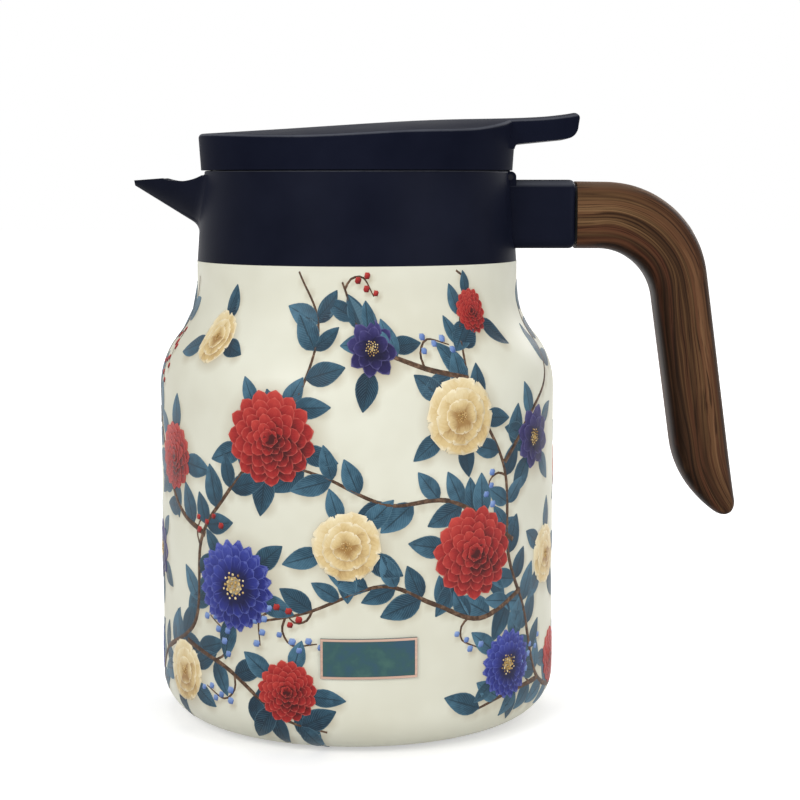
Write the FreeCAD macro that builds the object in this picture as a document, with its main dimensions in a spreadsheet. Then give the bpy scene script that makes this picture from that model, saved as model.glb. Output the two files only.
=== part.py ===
"""Vacuum-insulated teapot with a beak spout, a thumb-lever lid and a bent wooden handle.

Millimetres. +Z is up, the pot's axis is Z, and the origin is the middle of the foot that it stands on.
The spout points to -X and the handle to +X, so the pot is symmetric about the XZ plane.
"""

import FreeCAD, Part
import math
import os

import Sketcher

OUT_FOLDER = "parts"

# Driving dimensions, in millimetres and degrees
DIMENSIONS = {
    # how far a cut runs past the faces that it opens
    "overrun": 2.0,
    # steel jacket
    "shell_radius": 62.5,
    "shell_wall": 0.8,
    "shell_low": 1.0,
    "base_round": 12.4,
    "base_mouth": 46.0,
    "shoulder_low": 105.0,
    "neck_radius": 50.6,
    "neck_low": 137.5,
    "collar_low": 144.5,
    "spigot_radius": 47.2,
    "spigot_top": 157.6,
    "bead_low": 149.5,
    "bead_tall": 2.4,
    "bead_out": 0.6,
    # bottom of the jacket and the foot
    "well_radius": 44.2,
    "well_top": 6.0,
    "weld_radius": 50.0,
    "seal_hole": 1.2,
    "seal_head": 2.5,
    "seal_tall": 1.0,
    "cover_radius": 43.8,
    "cover_rim": 1.4,
    "cover_top": 4.6,
    "pad_radius": 40.0,
    "pad_tall": 0.6,
    # inner flask
    "liner_radius": 58.5,
    "liner_wall": 0.6,
    "liner_low": 12.0,
    "liner_round": 12.0,
    "liner_shoulder": 101.0,
    "liner_neck": 135.5,
    "mouth_radius": 44.0,
    "getter_radius": 6.0,
    "getter_tall": 2.4,
    "getter_out": 20.0,
    # collar
    "collar_radius": 50.5,
    "collar_top_radius": 48.6,
    "collar_top": 172.5,
    "collar_bore": 46.3,
    "skirt_bore": 47.5,
    "shelf_low": 159.7,
    "shelf_top": 162.8,
    "seat_radius": 39.2,
    "seat_low": 160.2,
    "seat_top_radius": 41.4,
    "gasket_in": 41.5,
    "gasket_out": 46.8,
    "collar_edge": 0.7,
    # spout
    "spout_root": 44.0,
    "spout_reach": 70.2,
    "root_half": 17.0,
    "root_top": 171.4,
    "root_keel": 153.6,
    "root_keel_half": 4.0,
    "root_side_bow": 34.0,
    "root_keel_bow": 5.2,
    "tip_half": 2.6,
    "tip_top": 169.6,
    "tip_keel": 168.3,
    "tip_keel_half": 1.0,
    "tip_side_bow": 6.0,
    "tip_keel_bow": 1.5,
    "spout_wall": 1.9,
    "channel_low": 163.9,
    "channel_keel_half": 8.0,
    "channel_keel_bow": 41.6,
    "channel_tip_low": 169.0,
    "channel_tip_half": 1.6,
    "channel_tip_keel": 0.5,
    "tip_overrun": 0.4,
    "scoop_front": 60.6,
    "scoop_front_top": 170.25,
    "scoop_back": 47.0,
    "scoop_back_top": 171.5,
    "scoop_bow": 16.5,
    "spout_blend": 4.5,
    # handle bracket
    "bracket_half": 11.0,
    "bracket_low": 148.4,
    "bracket_top": 169.8,
    "bracket_start": 44.5,
    "bracket_end": 68.4,
    "bracket_corner": 3.6,
    "bracket_edge": 2.0,
    "socket_wall": 3.6,
    "socket_floor": 52.0,
    "screw_first": 55.8,
    "screw_pitch": 7.2,
    "screw_hole": 1.9,
    "screw_head": 3.0,
    "screw_head_deep": 1.6,
    "screw_shank": 1.75,
    "screw_tip": 160.0,
    "screw_play": 0.2,
    # handle
    "washer_thick": 0.6,
    "washer_inset": 1.9,
    "grip_low": 148.2,
    "grip_top": 169.3,
    "grip_half": 11.0,
    "elbow_x": 91.7,
    "elbow_bend": 18.0,
    "heel_x": 102.3,
    "heel_z": 73.0,
    "heel_bend": 33.0,
    "toe_x": 121.9,
    "toe_z": 58.6,
    "toe_bend": 4.2,
    "crook_x": 106.8,
    "crook_z": 168.8,
    "crook_bend": 32.5,
    "grip_edge": 3.9,
    "tenon_play": 0.15,
    "tang_half": 2.0,
    "tang_start": 53.0,
    "tang_end": 91.0,
    "tang_low": 155.0,
    "tang_top": 162.4,
    # label plate
    "label_wide": 28.5,
    "label_tall": 12.0,
    "label_middle": 30.6,
    "label_thick": 0.55,
    "label_gap": 0.02,
    "label_turn": 4.2,
    # hinge
    "axis_out": 48.0,
    "axis_up": 170.6,
    "pin_radius": 0.9,
    "pin_half": 10.5,
    "pin_press": 0.02,
    "pin_run": 0.06,
    "ear_round": 1.8,
    "ear_half": 10.6,
    "slot_half": 7.2,
    "slot_round": 2.3,
    "ear_low": 165.0,
    "lug_half": 6.8,
    # lid cover
    "lid_low": 172.7,
    "lid_radius": 49.1,
    "lid_top_radius": 50.4,
    "lid_tall": 20.0,
    "lid_bore": 46.8,
    "roof_edge": 180.6,
    "roof_middle": 185.2,
    "lid_edge": 1.3,
    "crown_half": 60.0,
    "crown_floor": 120.0,
    "lever_half": 12.5,
    "lever_root": 40.0,
    "lever_low": 180.9,
    "lever_toe": 65.4,
    "lever_toe_low": 182.4,
    "lever_toe_bend": 4.2,
    "lever_end": 69.0,
    "lever_end_low": 186.4,
    "lever_reach": 70.5,
    "lever_corner": 6.0,
    "lever_flow": 5.0,
    "lever_under": 1.6,
    "lever_deep": 4.0,
    # inner plate, plug, foam, ring and screws of the lid
    "flange_radius": 45.9,
    "flange_low": 173.3,
    "flange_tall": 2.0,
    "drip_in": 44.4,
    "drip_out": 45.4,
    "drip_low": 171.7,
    "plug_radius": 36.4,
    "plug_play": 0.15,
    "plug_rim": 38.0,
    "plug_rim_tall": 1.4,
    "plug_low": 158.0,
    "plug_wall": 2.0,
    "plug_round": 2.0,
    "plug_draft": 1.0,
    "foam_play": 0.2,
    "lip_rise": 0.2,
    "groove_radius": 35.2,
    "groove_low": 160.8,
    "groove_tall": 2.2,
    "ring_low_radius": 39.0,
    "ring_top_radius": 40.7,
    "foam_radius": 34.2,
    "foam_top": 180.2,
    "boss_circle": 41.5,
    "boss_radius": 3.2,
    "lid_screw_radius": 1.5,
    "lid_screw_head": 2.8,
    "lid_screw_head_tall": 1.7,
    "lid_screw_length": 6.4,
}

# Crown of the lid: places along X, height of its middle line and the radius of its cross arch
CROWN = [
    ("crown_nose", -56.0, 183.6, 400.0),
    ("crown_front", -30.0, 185.15, 360.0),
    ("crown_middle", 0.0, 187.1, 317.0),
    ("crown_rise", 26.0, 188.5, 220.0),
    ("crown_back", 44.0, 188.93, 117.0),
    ("crown_lever", 58.0, 189.48, 90.0),
    ("crown_toe", 74.0, 192.05, 130.0),
]

LID_SCREW_ANGLES = (60.0, 180.0, 300.0)

# Tests that pick edges: what counts as touching, how far off an edge may lie, and how steep a level one is
TOUCH = 0.01
EDGE_SLACK = 0.5
LEVEL = 0.6


class Size:
    """A length that knows its number and the sheet expression that gives it."""

    def __init__(self, value, text):
        self.value = value
        self.text = text

    @staticmethod
    def of(other):
        return other if isinstance(other, Size) else Size(float(other), f"{float(other)!r}")

    def __add__(self, other):
        other = Size.of(other)
        return Size(self.value + other.value, f"({self.text} + {other.text})")

    def __sub__(self, other):
        other = Size.of(other)
        return Size(self.value - other.value, f"({self.text} - {other.text})")

    def __mul__(self, other):
        other = Size.of(other)
        return Size(self.value * other.value, f"({self.text} * {other.text})")

    def __truediv__(self, other):
        other = Size.of(other)
        return Size(self.value / other.value, f"({self.text} / {other.text})")

    def __neg__(self):
        return Size(-self.value, f"(0 - {self.text})")

    def root(self):
        return Size(math.sqrt(self.value), f"sqrt({self.text})")


class Sheet:
    """The spreadsheet of driving dimensions. Each alias reads as a Size."""

    def __init__(self, document):
        self.cells = document.addObject("Spreadsheet::Sheet", "dims")
        self.numbers = {}

    def put(self, alias, number):
        row = len(self.numbers) + 1
        self.cells.set(f"A{row}", alias)
        self.cells.set(f"B{row}", repr(number))
        self.cells.setAlias(f"B{row}", alias)
        self.numbers[alias] = number

    def derive(self, alias, size):
        """Keeps a worked-out length in a formula cell, so that sketches can name it."""
        row = len(self.numbers) + 1
        self.cells.set(f"A{row}", alias)
        self.cells.set(f"B{row}", "=" + size.text.replace("dims.", ""))
        self.cells.setAlias(f"B{row}", alias)
        self.numbers[alias] = size.value
        return getattr(self, alias)

    def __getattr__(self, alias):
        if alias not in self.numbers:
            raise AttributeError(alias)
        return Size(self.numbers[alias], f"dims.{alias}")


doc = FreeCAD.newDocument("teapot")
d = Sheet(doc)
for alias, number in DIMENSIONS.items():
    d.put(alias, number)
for place, along, top, arch in CROWN:
    d.put(f"{place}_x", along)
    d.put(f"{place}_top", top)
    d.put(f"{place}_arch", arch)
doc.recompute()


# Sketches


def origin_plane(body, role):
    return next(f for f in body.Origin.OriginFeatures if f.Role == role)


def new_sketch(body, name, role, shift=None):
    """An empty sketch on one of the body's origin planes, moved along the plane's normal by shift."""
    sketch = body.newObject("Sketcher::SketchObject", name)
    sketch.AttachmentSupport = [(origin_plane(body, role), "")]
    sketch.MapMode = "FlatFace"
    if shift is not None:
        sketch.AttachmentOffset = FreeCAD.Placement(
            FreeCAD.Vector(0, 0, shift.value), FreeCAD.Rotation()
        )
        sketch.setExpression("AttachmentOffset.Base.z", shift.text)
    return sketch


def bind(sketch, constraint, size):
    """Adds a constraint and ties its value to the sheet."""
    index = sketch.addConstraint(constraint)
    name = f"size{index}"
    sketch.renameConstraint(index, name)
    sketch.setExpression(f"Constraints.{name}", size.text)


def arc_between(start, end, bend):
    """The short arc from start to end. A positive bend bulges to the right of the way along it."""
    radius = abs(bend.value)
    chord = end - start
    half = chord.Length / 2
    rise = math.sqrt(max(radius * radius - half * half, 0.0))
    left = FreeCAD.Vector(-chord.y, chord.x, 0).normalize()
    side = 1 if bend.value > 0 else -1
    centre = (start + end) / 2 + left * (rise * side)
    first, last = (start, end) if bend.value > 0 else (end, start)
    angles = [math.atan2(p.y - centre.y, p.x - centre.x) for p in (first, last)]
    if angles[1] < angles[0]:
        angles[1] += 2 * math.pi
    circle = Part.Circle(centre, FreeCAD.Vector(0, 0, 1), radius)
    return Part.ArcOfCircle(circle, angles[0], angles[1])


def outline(sketch, corners):
    """A closed outline of corners (x, y) or (x, y, bend), where bend is the arc from it to the next."""
    points = [FreeCAD.Vector(Size.of(c[0]).value, Size.of(c[1]).value, 0) for c in corners]
    first = sketch.GeometryCount
    ends = []
    for i, corner in enumerate(corners):
        start, end = points[i], points[(i + 1) % len(points)]
        if len(corner) == 3:
            index = sketch.addGeometry(arc_between(start, end, corner[2]))
            ends.append((1, 2) if corner[2].value > 0 else (2, 1))
        else:
            index = sketch.addGeometry(Part.LineSegment(start, end))
            ends.append((1, 2))
    for i, corner in enumerate(corners):
        edge, before = first + i, first + (i - 1) % len(corners)
        sketch.addConstraint(
            Sketcher.Constraint(
                "Coincident", before, ends[(i - 1) % len(corners)][1], edge, ends[i][0]
            )
        )
        for kind, size in (("DistanceX", corner[0]), ("DistanceY", corner[1])):
            size = Size.of(size)
            bind(sketch, Sketcher.Constraint(kind, edge, ends[i][0], size.value), size)
        if len(corner) == 3:
            bend = corner[2] if corner[2].value > 0 else -corner[2]
            bind(sketch, Sketcher.Constraint("Radius", edge, bend.value), bend)
    return sketch


def direction(start, end):
    """The unit direction from one place to another."""
    along, up = end[0] - start[0], end[1] - start[1]
    length = (along * along + up * up).root()
    return along / length, up / length


def blend(name, before, corner, after, radius):
    """Two outline corners that round a corner off with an arc tangent to both of its sides."""
    come = direction(before, corner)
    leave = direction(corner, after)
    turn = come[0] * leave[1] - come[1] * leave[0]
    side = 1 if turn.value > 0 else -1
    opening = come[0] * leave[0] + come[1] * leave[1] + 1
    reach = d.derive(f"{name}_reach", radius * side * turn / opening)
    places = [corner[0] - come[0] * reach, corner[1] - come[1] * reach]
    places += [corner[0] + leave[0] * reach, corner[1] + leave[1] * reach]
    words = ("start_x", "start_z", "end_x", "end_z")
    x0, z0, x1, z1 = (d.derive(f"{name}_{word}", place) for word, place in zip(words, places))
    return [(x0, z0, radius if side > 0 else -radius), (x1, z1)]


def round_hole(sketch, x, y, radius):
    """A circle in a sketch, with its centre and radius tied to the sheet."""
    x, y = Size.of(x), Size.of(y)
    centre = FreeCAD.Vector(x.value, y.value, 0)
    index = sketch.addGeometry(Part.Circle(centre, FreeCAD.Vector(0, 0, 1), radius.value))
    bind(sketch, Sketcher.Constraint("DistanceX", index, 3, x.value), x)
    bind(sketch, Sketcher.Constraint("DistanceY", index, 3, y.value), y)
    bind(sketch, Sketcher.Constraint("Radius", index, radius.value), radius)


def rectangle(x0, y0, x1, y1):
    return [(x0, y0), (x1, y0), (x1, y1), (x0, y1)]


def rounded_rectangle(x0, y0, x1, y1, corner):
    return [
        (x0 + corner, y0),
        (x1 - corner, y0, corner),
        (x1, y0 + corner),
        (x1, y1 - corner, corner),
        (x1 - corner, y1),
        (x0 + corner, y1, corner),
        (x0, y1 - corner),
        (x0, y0 + corner, corner),
    ]


# Features


def new_body(label):
    body = doc.addObject("PartDesign::Body", label)
    body.Label = label
    return body


def turned(body, name, corners, kind="PartDesign::Revolution"):
    """A solid or a cut turned about the pot's axis from an outline of radius and height."""
    sketch = outline(new_sketch(body, f"{name}_outline", "XZ_Plane"), corners)
    feature = body.newObject(kind, name)
    feature.Profile = sketch
    feature.ReferenceAxis = (sketch, ["V_Axis"])
    feature.Angle = 360
    doc.recompute()
    return feature


def padded(body, name, sketch, length, symmetric=False, kind="PartDesign::Pad", back=False):
    """A pad or pocket of a sketch, with its length tied to the sheet."""
    feature = body.newObject(kind, name)
    feature.Profile = sketch
    feature.SideType = "Symmetric" if symmetric else "One side"
    feature.Reversed = back
    feature.Length = length.value
    feature.setExpression("Length", length.text)
    doc.recompute()
    return feature


def cut_through(body, name, corners, half):
    """A pocket along Y, half wide to each side, from an outline in X and Z."""
    sketch = outline(new_sketch(body, f"{name}_outline", "XZ_Plane"), corners)
    return padded(body, name, sketch, half * 2, symmetric=True, kind="PartDesign::Pocket")


def volume_drop(feature, before):
    """Stops the build if a cut took nothing away."""
    if feature.Shape.Volume > before - TOUCH:
        raise RuntimeError(f"{feature.Name} cuts nothing")


def rounded(body, name, base, edges, radius):
    """A fillet on the edges of a feature that a test picks."""
    names = [f"Edge{i + 1}" for i, e in enumerate(base.Shape.Edges) if edges(e)]
    if not names:
        raise RuntimeError(f"{name}: no edge to round")
    feature = body.newObject("PartDesign::Fillet", name)
    feature.Base = (base, names)
    feature.Radius = radius.value
    feature.setExpression("Radius", radius.text)
    doc.recompute()
    return feature


def middle(edge):
    first, last = edge.ParameterRange
    return edge.valueAt((first + last) / 2)


# Steel jacket and foot


def shoulder(low_radius, low, high_radius, high):
    """Corners of an S-shaped shoulder, two equal arcs that meet halfway, going up and in."""
    inward, rise = low_radius - high_radius, high - low
    bend = (inward * inward + rise * rise) / (inward * 4)
    return [
        (low_radius, low, bend),
        ((low_radius + high_radius) / 2, (low + high) / 2, -bend),
    ]


def shoulder_down(low_radius, low, high_radius, high):
    """The same shoulder, going down and out."""
    inward, rise = low_radius - high_radius, high - low
    bend = (inward * inward + rise * rise) / (inward * 4)
    return [
        (high_radius, high, bend),
        ((low_radius + high_radius) / 2, (low + high) / 2, -bend),
    ]


def outer_shell():
    body = new_body("outer_shell")
    wall = d.shell_wall
    spigot_in = d.spigot_radius - wall
    outside = [
        (d.base_mouth, d.shell_low),
        (d.shell_radius - d.base_round, d.shell_low, d.base_round),
        (d.shell_radius, d.shell_low + d.base_round),
        *shoulder(d.shell_radius, d.shoulder_low, d.neck_radius, d.neck_low),
        (d.neck_radius, d.neck_low),
        (d.neck_radius, d.collar_low),
        (d.spigot_radius, d.collar_low),
        (d.spigot_radius, d.bead_low),
        (d.spigot_radius + d.bead_out, d.bead_low + d.bead_tall / 2),
        (d.spigot_radius, d.bead_low + d.bead_tall),
        (d.spigot_radius, d.spigot_top),
    ]
    inside = [
        (spigot_in, d.spigot_top),
        (spigot_in, d.collar_low - wall),
        (d.neck_radius - wall, d.collar_low - wall),
        *shoulder_down(d.shell_radius - wall, d.shoulder_low, d.neck_radius - wall, d.neck_low),
        (d.shell_radius - wall, d.shoulder_low),
        (d.shell_radius - wall, d.shell_low + d.base_round, -(d.base_round - wall)),
        (d.shell_radius - d.base_round, d.shell_low + wall),
        (d.base_mouth, d.shell_low + wall),
    ]
    turned(body, "jacket", outside + inside)
    return body


def shell_bottom():
    body = new_body("shell_bottom")
    wall = d.shell_wall
    flange = d.shell_low + wall
    turned(
        body,
        "well",
        [
            (d.seal_hole, d.well_top),
            (d.well_radius, d.well_top),
            (d.well_radius, flange),
            (d.weld_radius, flange),
            (d.weld_radius, flange + wall),
            (d.well_radius + wall, flange + wall),
            (d.well_radius + wall, d.well_top + wall),
            (d.seal_hole, d.well_top + wall),
        ],
    )
    return body


def vacuum_seal_bead():
    body = new_body("vacuum_seal_bead")
    turned(
        body,
        "bead",
        [
            (0, d.well_top - d.seal_tall),
            (d.seal_head / 2, d.well_top - d.seal_tall),
            (d.seal_head, d.well_top),
            (d.seal_hole, d.well_top),
            (d.seal_hole, d.well_top + d.shell_wall),
            (0, d.well_top + d.shell_wall),
        ],
    )
    return body


def base_cover():
    body = new_body("base_cover")
    floor = d.pad_tall + d.shell_wall
    turned(
        body,
        "pan",
        [
            (0, d.pad_tall),
            (d.cover_radius - d.pad_tall, d.pad_tall, d.pad_tall),
            (d.cover_radius, d.pad_tall * 2),
            (d.cover_radius, d.cover_top),
            (d.cover_radius - d.cover_rim, d.cover_top),
            (d.cover_radius - d.cover_rim, floor),
            (0, floor),
        ],
    )
    return body


def base_pad():
    pad = doc.addObject("Part::Cylinder", "base_pad")
    pad.setExpression("Radius", "dims.pad_radius")
    pad.setExpression("Height", "dims.pad_tall")
    return pad


# Inner flask


def inner_liner():
    body = new_body("inner_liner")
    wall = d.liner_wall
    flat = d.liner_radius - d.liner_round
    outside = [
        (0, d.liner_low),
        (flat, d.liner_low, d.liner_round),
        (d.liner_radius, d.liner_low + d.liner_round),
        *shoulder(d.liner_radius, d.liner_shoulder, d.mouth_radius, d.liner_neck),
        (d.mouth_radius, d.liner_neck),
        (d.mouth_radius, d.spigot_top),
        (d.spigot_radius, d.spigot_top),
        (d.spigot_radius, d.spigot_top + wall),
    ]
    inside = [
        (d.mouth_radius - wall, d.spigot_top + wall),
        *shoulder_down(d.liner_radius - wall, d.liner_shoulder, d.mouth_radius - wall, d.liner_neck),
        (d.liner_radius - wall, d.liner_shoulder),
        (d.liner_radius - wall, d.liner_low + d.liner_round, -(d.liner_round - wall)),
        (flat, d.liner_low + wall),
        (0, d.liner_low + wall),
    ]
    turned(body, "flask", outside + inside)
    return body


def vacuum_getter():
    getter = doc.addObject("Part::Cylinder", "vacuum_getter")
    getter.setExpression("Radius", "dims.getter_radius")
    getter.setExpression("Height", "dims.getter_tall")
    getter.setExpression("Placement.Base.x", "dims.getter_out")
    getter.setExpression("Placement.Base.z", "dims.liner_low - dims.getter_tall")
    return getter


# Collar


def beak_section(body, name, along, half, top, keel, keel_half, side_bow, keel_bow):
    """One cross-section of the beak, across Y, at a distance out along -X."""
    sketch = new_sketch(body, name, "YZ_Plane", -along)
    return outline(
        sketch,
        [
            (half, top),
            (-half, top, side_bow),
            (-keel_half, keel, keel_bow),
            (keel_half, keel, side_bow),
        ],
    )


def add_spout(body):
    root = beak_section(
        body, "beak_root", d.spout_root, d.root_half, d.root_top, d.root_keel,
        d.root_keel_half, d.root_side_bow, d.root_keel_bow,
    )
    tip = beak_section(
        body, "beak_tip", d.spout_reach, d.tip_half, d.tip_top, d.tip_keel,
        d.tip_keel_half, d.tip_side_bow, d.tip_keel_bow,
    )
    beak = body.newObject("PartDesign::AdditiveLoft", "beak")
    beak.Profile = root
    beak.Sections = [tip]
    beak.Ruled = True
    doc.recompute()
    return beak


def cut_channel(body):
    """The open channel from the collar's shelf to the tip of the beak."""
    above = d.collar_top + d.overrun
    root = beak_section(
        body, "channel_root", d.spout_root - d.overrun, d.root_half - d.spout_wall, above, d.channel_low,
        d.channel_keel_half, d.root_side_bow, d.channel_keel_bow,
    )
    tip = beak_section(
        body, "channel_tip", d.spout_reach + d.tip_overrun, d.channel_tip_half, above, d.channel_tip_low,
        d.channel_tip_keel, d.root_side_bow, d.tip_keel_bow,
    )
    before = body.Shape.Volume
    channel = body.newObject("PartDesign::SubtractiveLoft", "channel")
    channel.Profile = root
    channel.Sections = [tip]
    channel.Ruled = True
    doc.recompute()
    volume_drop(channel, before)
    before = body.Shape.Volume
    rim = d.root_top + d.overrun
    scoop = cut_through(
        body,
        "lip_scoop",
        [
            (-d.scoop_front, d.scoop_front_top, d.scoop_bow),
            (-d.scoop_back, d.scoop_back_top),
            (-d.scoop_back, rim),
            (-d.scoop_front, rim),
        ],
        d.root_half * 2,
    )
    volume_drop(scoop, before)


def add_bracket(body):
    sketch = new_sketch(body, "bracket_outline", "YZ_Plane", d.bracket_start)
    outline(
        sketch,
        rounded_rectangle(
            -d.bracket_half, d.bracket_low, d.bracket_half, d.bracket_top, d.bracket_corner
        ),
    )
    return padded(body, "bracket", sketch, d.bracket_end - d.bracket_start)


def cut_socket(body):
    """The square socket in the bracket, and the two counterbored screw holes under it."""
    wall = d.socket_wall
    sketch = new_sketch(body, "socket_outline", "YZ_Plane", d.bracket_end)
    outline(
        sketch,
        rectangle(
            -(d.bracket_half - wall), d.bracket_low + wall, d.bracket_half - wall, d.bracket_top - wall
        ),
    )
    before = body.Shape.Volume
    socket = padded(body, "socket", sketch, d.bracket_end - d.socket_floor, kind="PartDesign::Pocket")
    volume_drop(socket, before)
    for name, radius, deep in (
        ("screw_holes", d.screw_hole, wall + d.overrun),
        ("screw_recesses", d.screw_head + d.screw_play, d.screw_head_deep),
    ):
        holes = new_sketch(body, f"{name}_outline", "XY_Plane", d.bracket_low)
        for along in (d.screw_first, d.screw_first + d.screw_pitch):
            round_hole(holes, along, 0, radius)
        before = body.Shape.Volume
        bored = padded(body, name, holes, deep, kind="PartDesign::Pocket", back=True)
        volume_drop(bored, before)


def add_hinge_ears(body):
    """Two ears at the collar's rear edge that hold the hinge pin, with a slot for the lid's lug."""
    front, rear = d.axis_out - d.ear_round, d.axis_out + d.ear_round
    ears = outline(
        new_sketch(body, "ears_outline", "XZ_Plane"),
        [
            (front, d.ear_low),
            (rear, d.ear_low),
            (rear, d.axis_up, d.ear_round),
            (d.axis_out, d.axis_up + d.ear_round, d.ear_round),
            (front, d.axis_up),
        ],
    )
    padded(body, "ears", ears, d.ear_half * 2, symmetric=True)
    before = body.Shape.Volume
    above = d.collar_top + d.overrun
    slot = cut_through(
        body,
        "lug_slot",
        [
            (front - d.overrun, d.axis_up - d.slot_round),
            (d.axis_out, d.axis_up - d.slot_round, d.slot_round),
            (d.axis_out + d.slot_round, d.axis_up),
            (d.axis_out + d.slot_round, above),
            (front - d.overrun, above),
        ],
        d.slot_half,
    )
    volume_drop(slot, before)
    bore = new_sketch(body, "pin_bore_outline", "XZ_Plane")
    round_hole(bore, d.axis_out, d.axis_up, d.pin_radius + d.pin_press)
    before = body.Shape.Volume
    bored = padded(body, "pin_bore", bore, d.ear_half * 4, symmetric=True, kind="PartDesign::Pocket")
    volume_drop(bored, before)


def leaves_wall(edge):
    """Whether an edge is where the beak's sides or keel leave the collar's wall."""
    spot, box = middle(edge), edge.BoundBox
    from_wall = abs(math.hypot(spot.x, spot.y) - d.collar_radius.value)
    return (
        spot.x < -d.spout_root.value
        and from_wall < (d.collar_radius - d.collar_top_radius).value + EDGE_SLACK
        and box.XLength < (d.spout_reach - d.spout_root).value / 2
        and box.ZMin < d.channel_low.value
        and box.ZMax < d.collar_top.value - EDGE_SLACK
    )


def collar():
    body = new_body("collar")
    edge = d.collar_edge
    turned(
        body,
        "ring",
        [
            (0, d.collar_low),
            (d.collar_radius, d.collar_low),
            (d.collar_top_radius, d.collar_top - edge, edge),
            (d.collar_top_radius - edge, d.collar_top),
            (0, d.collar_top),
        ],
    )
    rounded(body, "beak_blend", add_spout(body), leaves_wall, d.spout_blend)
    bracket = add_bracket(body)
    end = d.bracket_end.value
    rounded(body, "bracket_rim", bracket, lambda e: e.BoundBox.XMin > end - TOUCH, d.bracket_edge)
    before = body.Shape.Volume
    bore = turned(
        body,
        "bore",
        [
            (0, d.collar_low - d.overrun),
            (d.skirt_bore, d.collar_low - d.overrun),
            (d.skirt_bore, d.bead_low),
            (d.skirt_bore + d.bead_out, d.bead_low + d.bead_tall / 2),
            (d.skirt_bore, d.bead_low + d.bead_tall),
            (d.skirt_bore, d.shelf_low),
            (d.seat_radius, d.shelf_low),
            (d.seat_radius, d.seat_low),
            (d.seat_top_radius, d.shelf_top),
            (d.collar_bore, d.shelf_top),
            (d.collar_bore, d.collar_top + d.overrun),
            (0, d.collar_top + d.overrun),
        ],
        kind="PartDesign::Groove",
    )
    volume_drop(bore, before)
    cut_channel(body)
    cut_socket(body)
    add_hinge_ears(body)
    return body


def collar_gasket():
    body = new_body("collar_gasket")
    low = d.spigot_top + d.liner_wall
    turned(body, "gasket", rectangle(d.gasket_in, low, d.gasket_out, d.shelf_low))
    return body


def hinge_pin():
    pin = doc.addObject("Part::Cylinder", "hinge_pin")
    pin.setExpression("Radius", "dims.pin_radius")
    pin.setExpression("Height", "dims.pin_half * 2")
    pin.Placement.Rotation = FreeCAD.Rotation(FreeCAD.Vector(1, 0, 0), -90)
    pin.setExpression("Placement.Base.x", "dims.axis_out")
    pin.setExpression("Placement.Base.y", "-dims.pin_half")
    pin.setExpression("Placement.Base.z", "dims.axis_up")
    return pin


# Handle


def handle_washer():
    body = new_body("handle_washer")
    inset, wall = d.washer_inset, d.socket_wall - d.tenon_play
    sketch = new_sketch(body, "plate_outline", "YZ_Plane", d.bracket_end)
    outline(
        sketch,
        rounded_rectangle(
            -(d.bracket_half - inset), d.bracket_low + inset, d.bracket_half - inset,
            d.bracket_top - inset, d.bracket_corner - inset,
        ),
    )
    outline(
        sketch,
        rectangle(
            -(d.bracket_half - wall), d.bracket_low + wall, d.bracket_half - wall, d.bracket_top - wall
        ),
    )
    padded(body, "plate", sketch, d.washer_thick)
    return body


def handle_grip():
    body = new_body("handle_grip")
    start = d.bracket_end + d.washer_thick
    root_low, root_top = (start, d.grip_low), (start, d.grip_top)
    elbow, crook = (d.elbow_x, d.grip_low), (d.crook_x, d.crook_z)
    heel, toe = (d.heel_x, d.heel_z), (d.toe_x, d.toe_z)
    corners = [
        root_low,
        *blend("elbow", root_low, elbow, heel, d.elbow_bend),
        *blend("heel", elbow, heel, toe, d.heel_bend),
        *blend("toe", heel, toe, crook, d.toe_bend),
        *blend("crook", toe, crook, root_top, d.crook_bend),
        root_top,
    ]
    doc.recompute()
    sketch = outline(new_sketch(body, "grip_outline", "XZ_Plane"), corners)
    blank = padded(body, "blank", sketch, d.grip_half * 2, symmetric=True)
    side = d.grip_half.value
    first = start.value + TOUCH
    rounded(
        body,
        "soft_edges",
        blank,
        lambda e: abs(abs(middle(e).y) - side) < TOUCH and e.BoundBox.XMax > first,
        d.grip_edge,
    )
    play = d.socket_wall + d.tenon_play
    tenon = new_sketch(body, "tenon_outline", "YZ_Plane", start)
    outline(
        tenon,
        rectangle(
            -(d.bracket_half - play), d.bracket_low + play, d.bracket_half - play, d.bracket_top - play
        ),
    )
    padded(body, "tenon", tenon, start - d.socket_floor - d.tenon_play * 2, back=True)
    slot = new_sketch(body, "tang_slot_outline", "XZ_Plane")
    outline(slot, rectangle(d.socket_floor - d.overrun, d.tang_low, d.tang_end, d.tang_top))
    before = body.Shape.Volume
    cut = padded(body, "tang_slot", slot, d.tang_half * 2, symmetric=True, kind="PartDesign::Pocket")
    volume_drop(cut, before)
    holes = new_sketch(body, "grip_holes_outline", "XY_Plane", d.bracket_low)
    for along in (d.screw_first, d.screw_first + d.screw_pitch):
        round_hole(holes, along, 0, d.screw_shank)
    before = body.Shape.Volume
    bored = padded(
        body, "grip_holes", holes, d.screw_tip - d.bracket_low, kind="PartDesign::Pocket", back=True
    )
    volume_drop(bored, before)
    return body


def handle_tang():
    body = new_body("handle_tang")
    sketch = new_sketch(body, "tang_outline", "XZ_Plane")
    outline(sketch, rectangle(d.tang_start, d.tang_low, d.tang_end, d.tang_top))
    padded(body, "bar", sketch, d.tang_half * 2, symmetric=True)
    holes = new_sketch(body, "tang_holes_outline", "XY_Plane", d.tang_low)
    for along in (d.screw_first, d.screw_first + d.screw_pitch):
        round_hole(holes, along, 0, d.screw_shank)
    before = body.Shape.Volume
    bored = padded(
        body, "tang_holes", holes, d.screw_tip - d.tang_low, kind="PartDesign::Pocket", back=True
    )
    volume_drop(bored, before)
    return body


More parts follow.
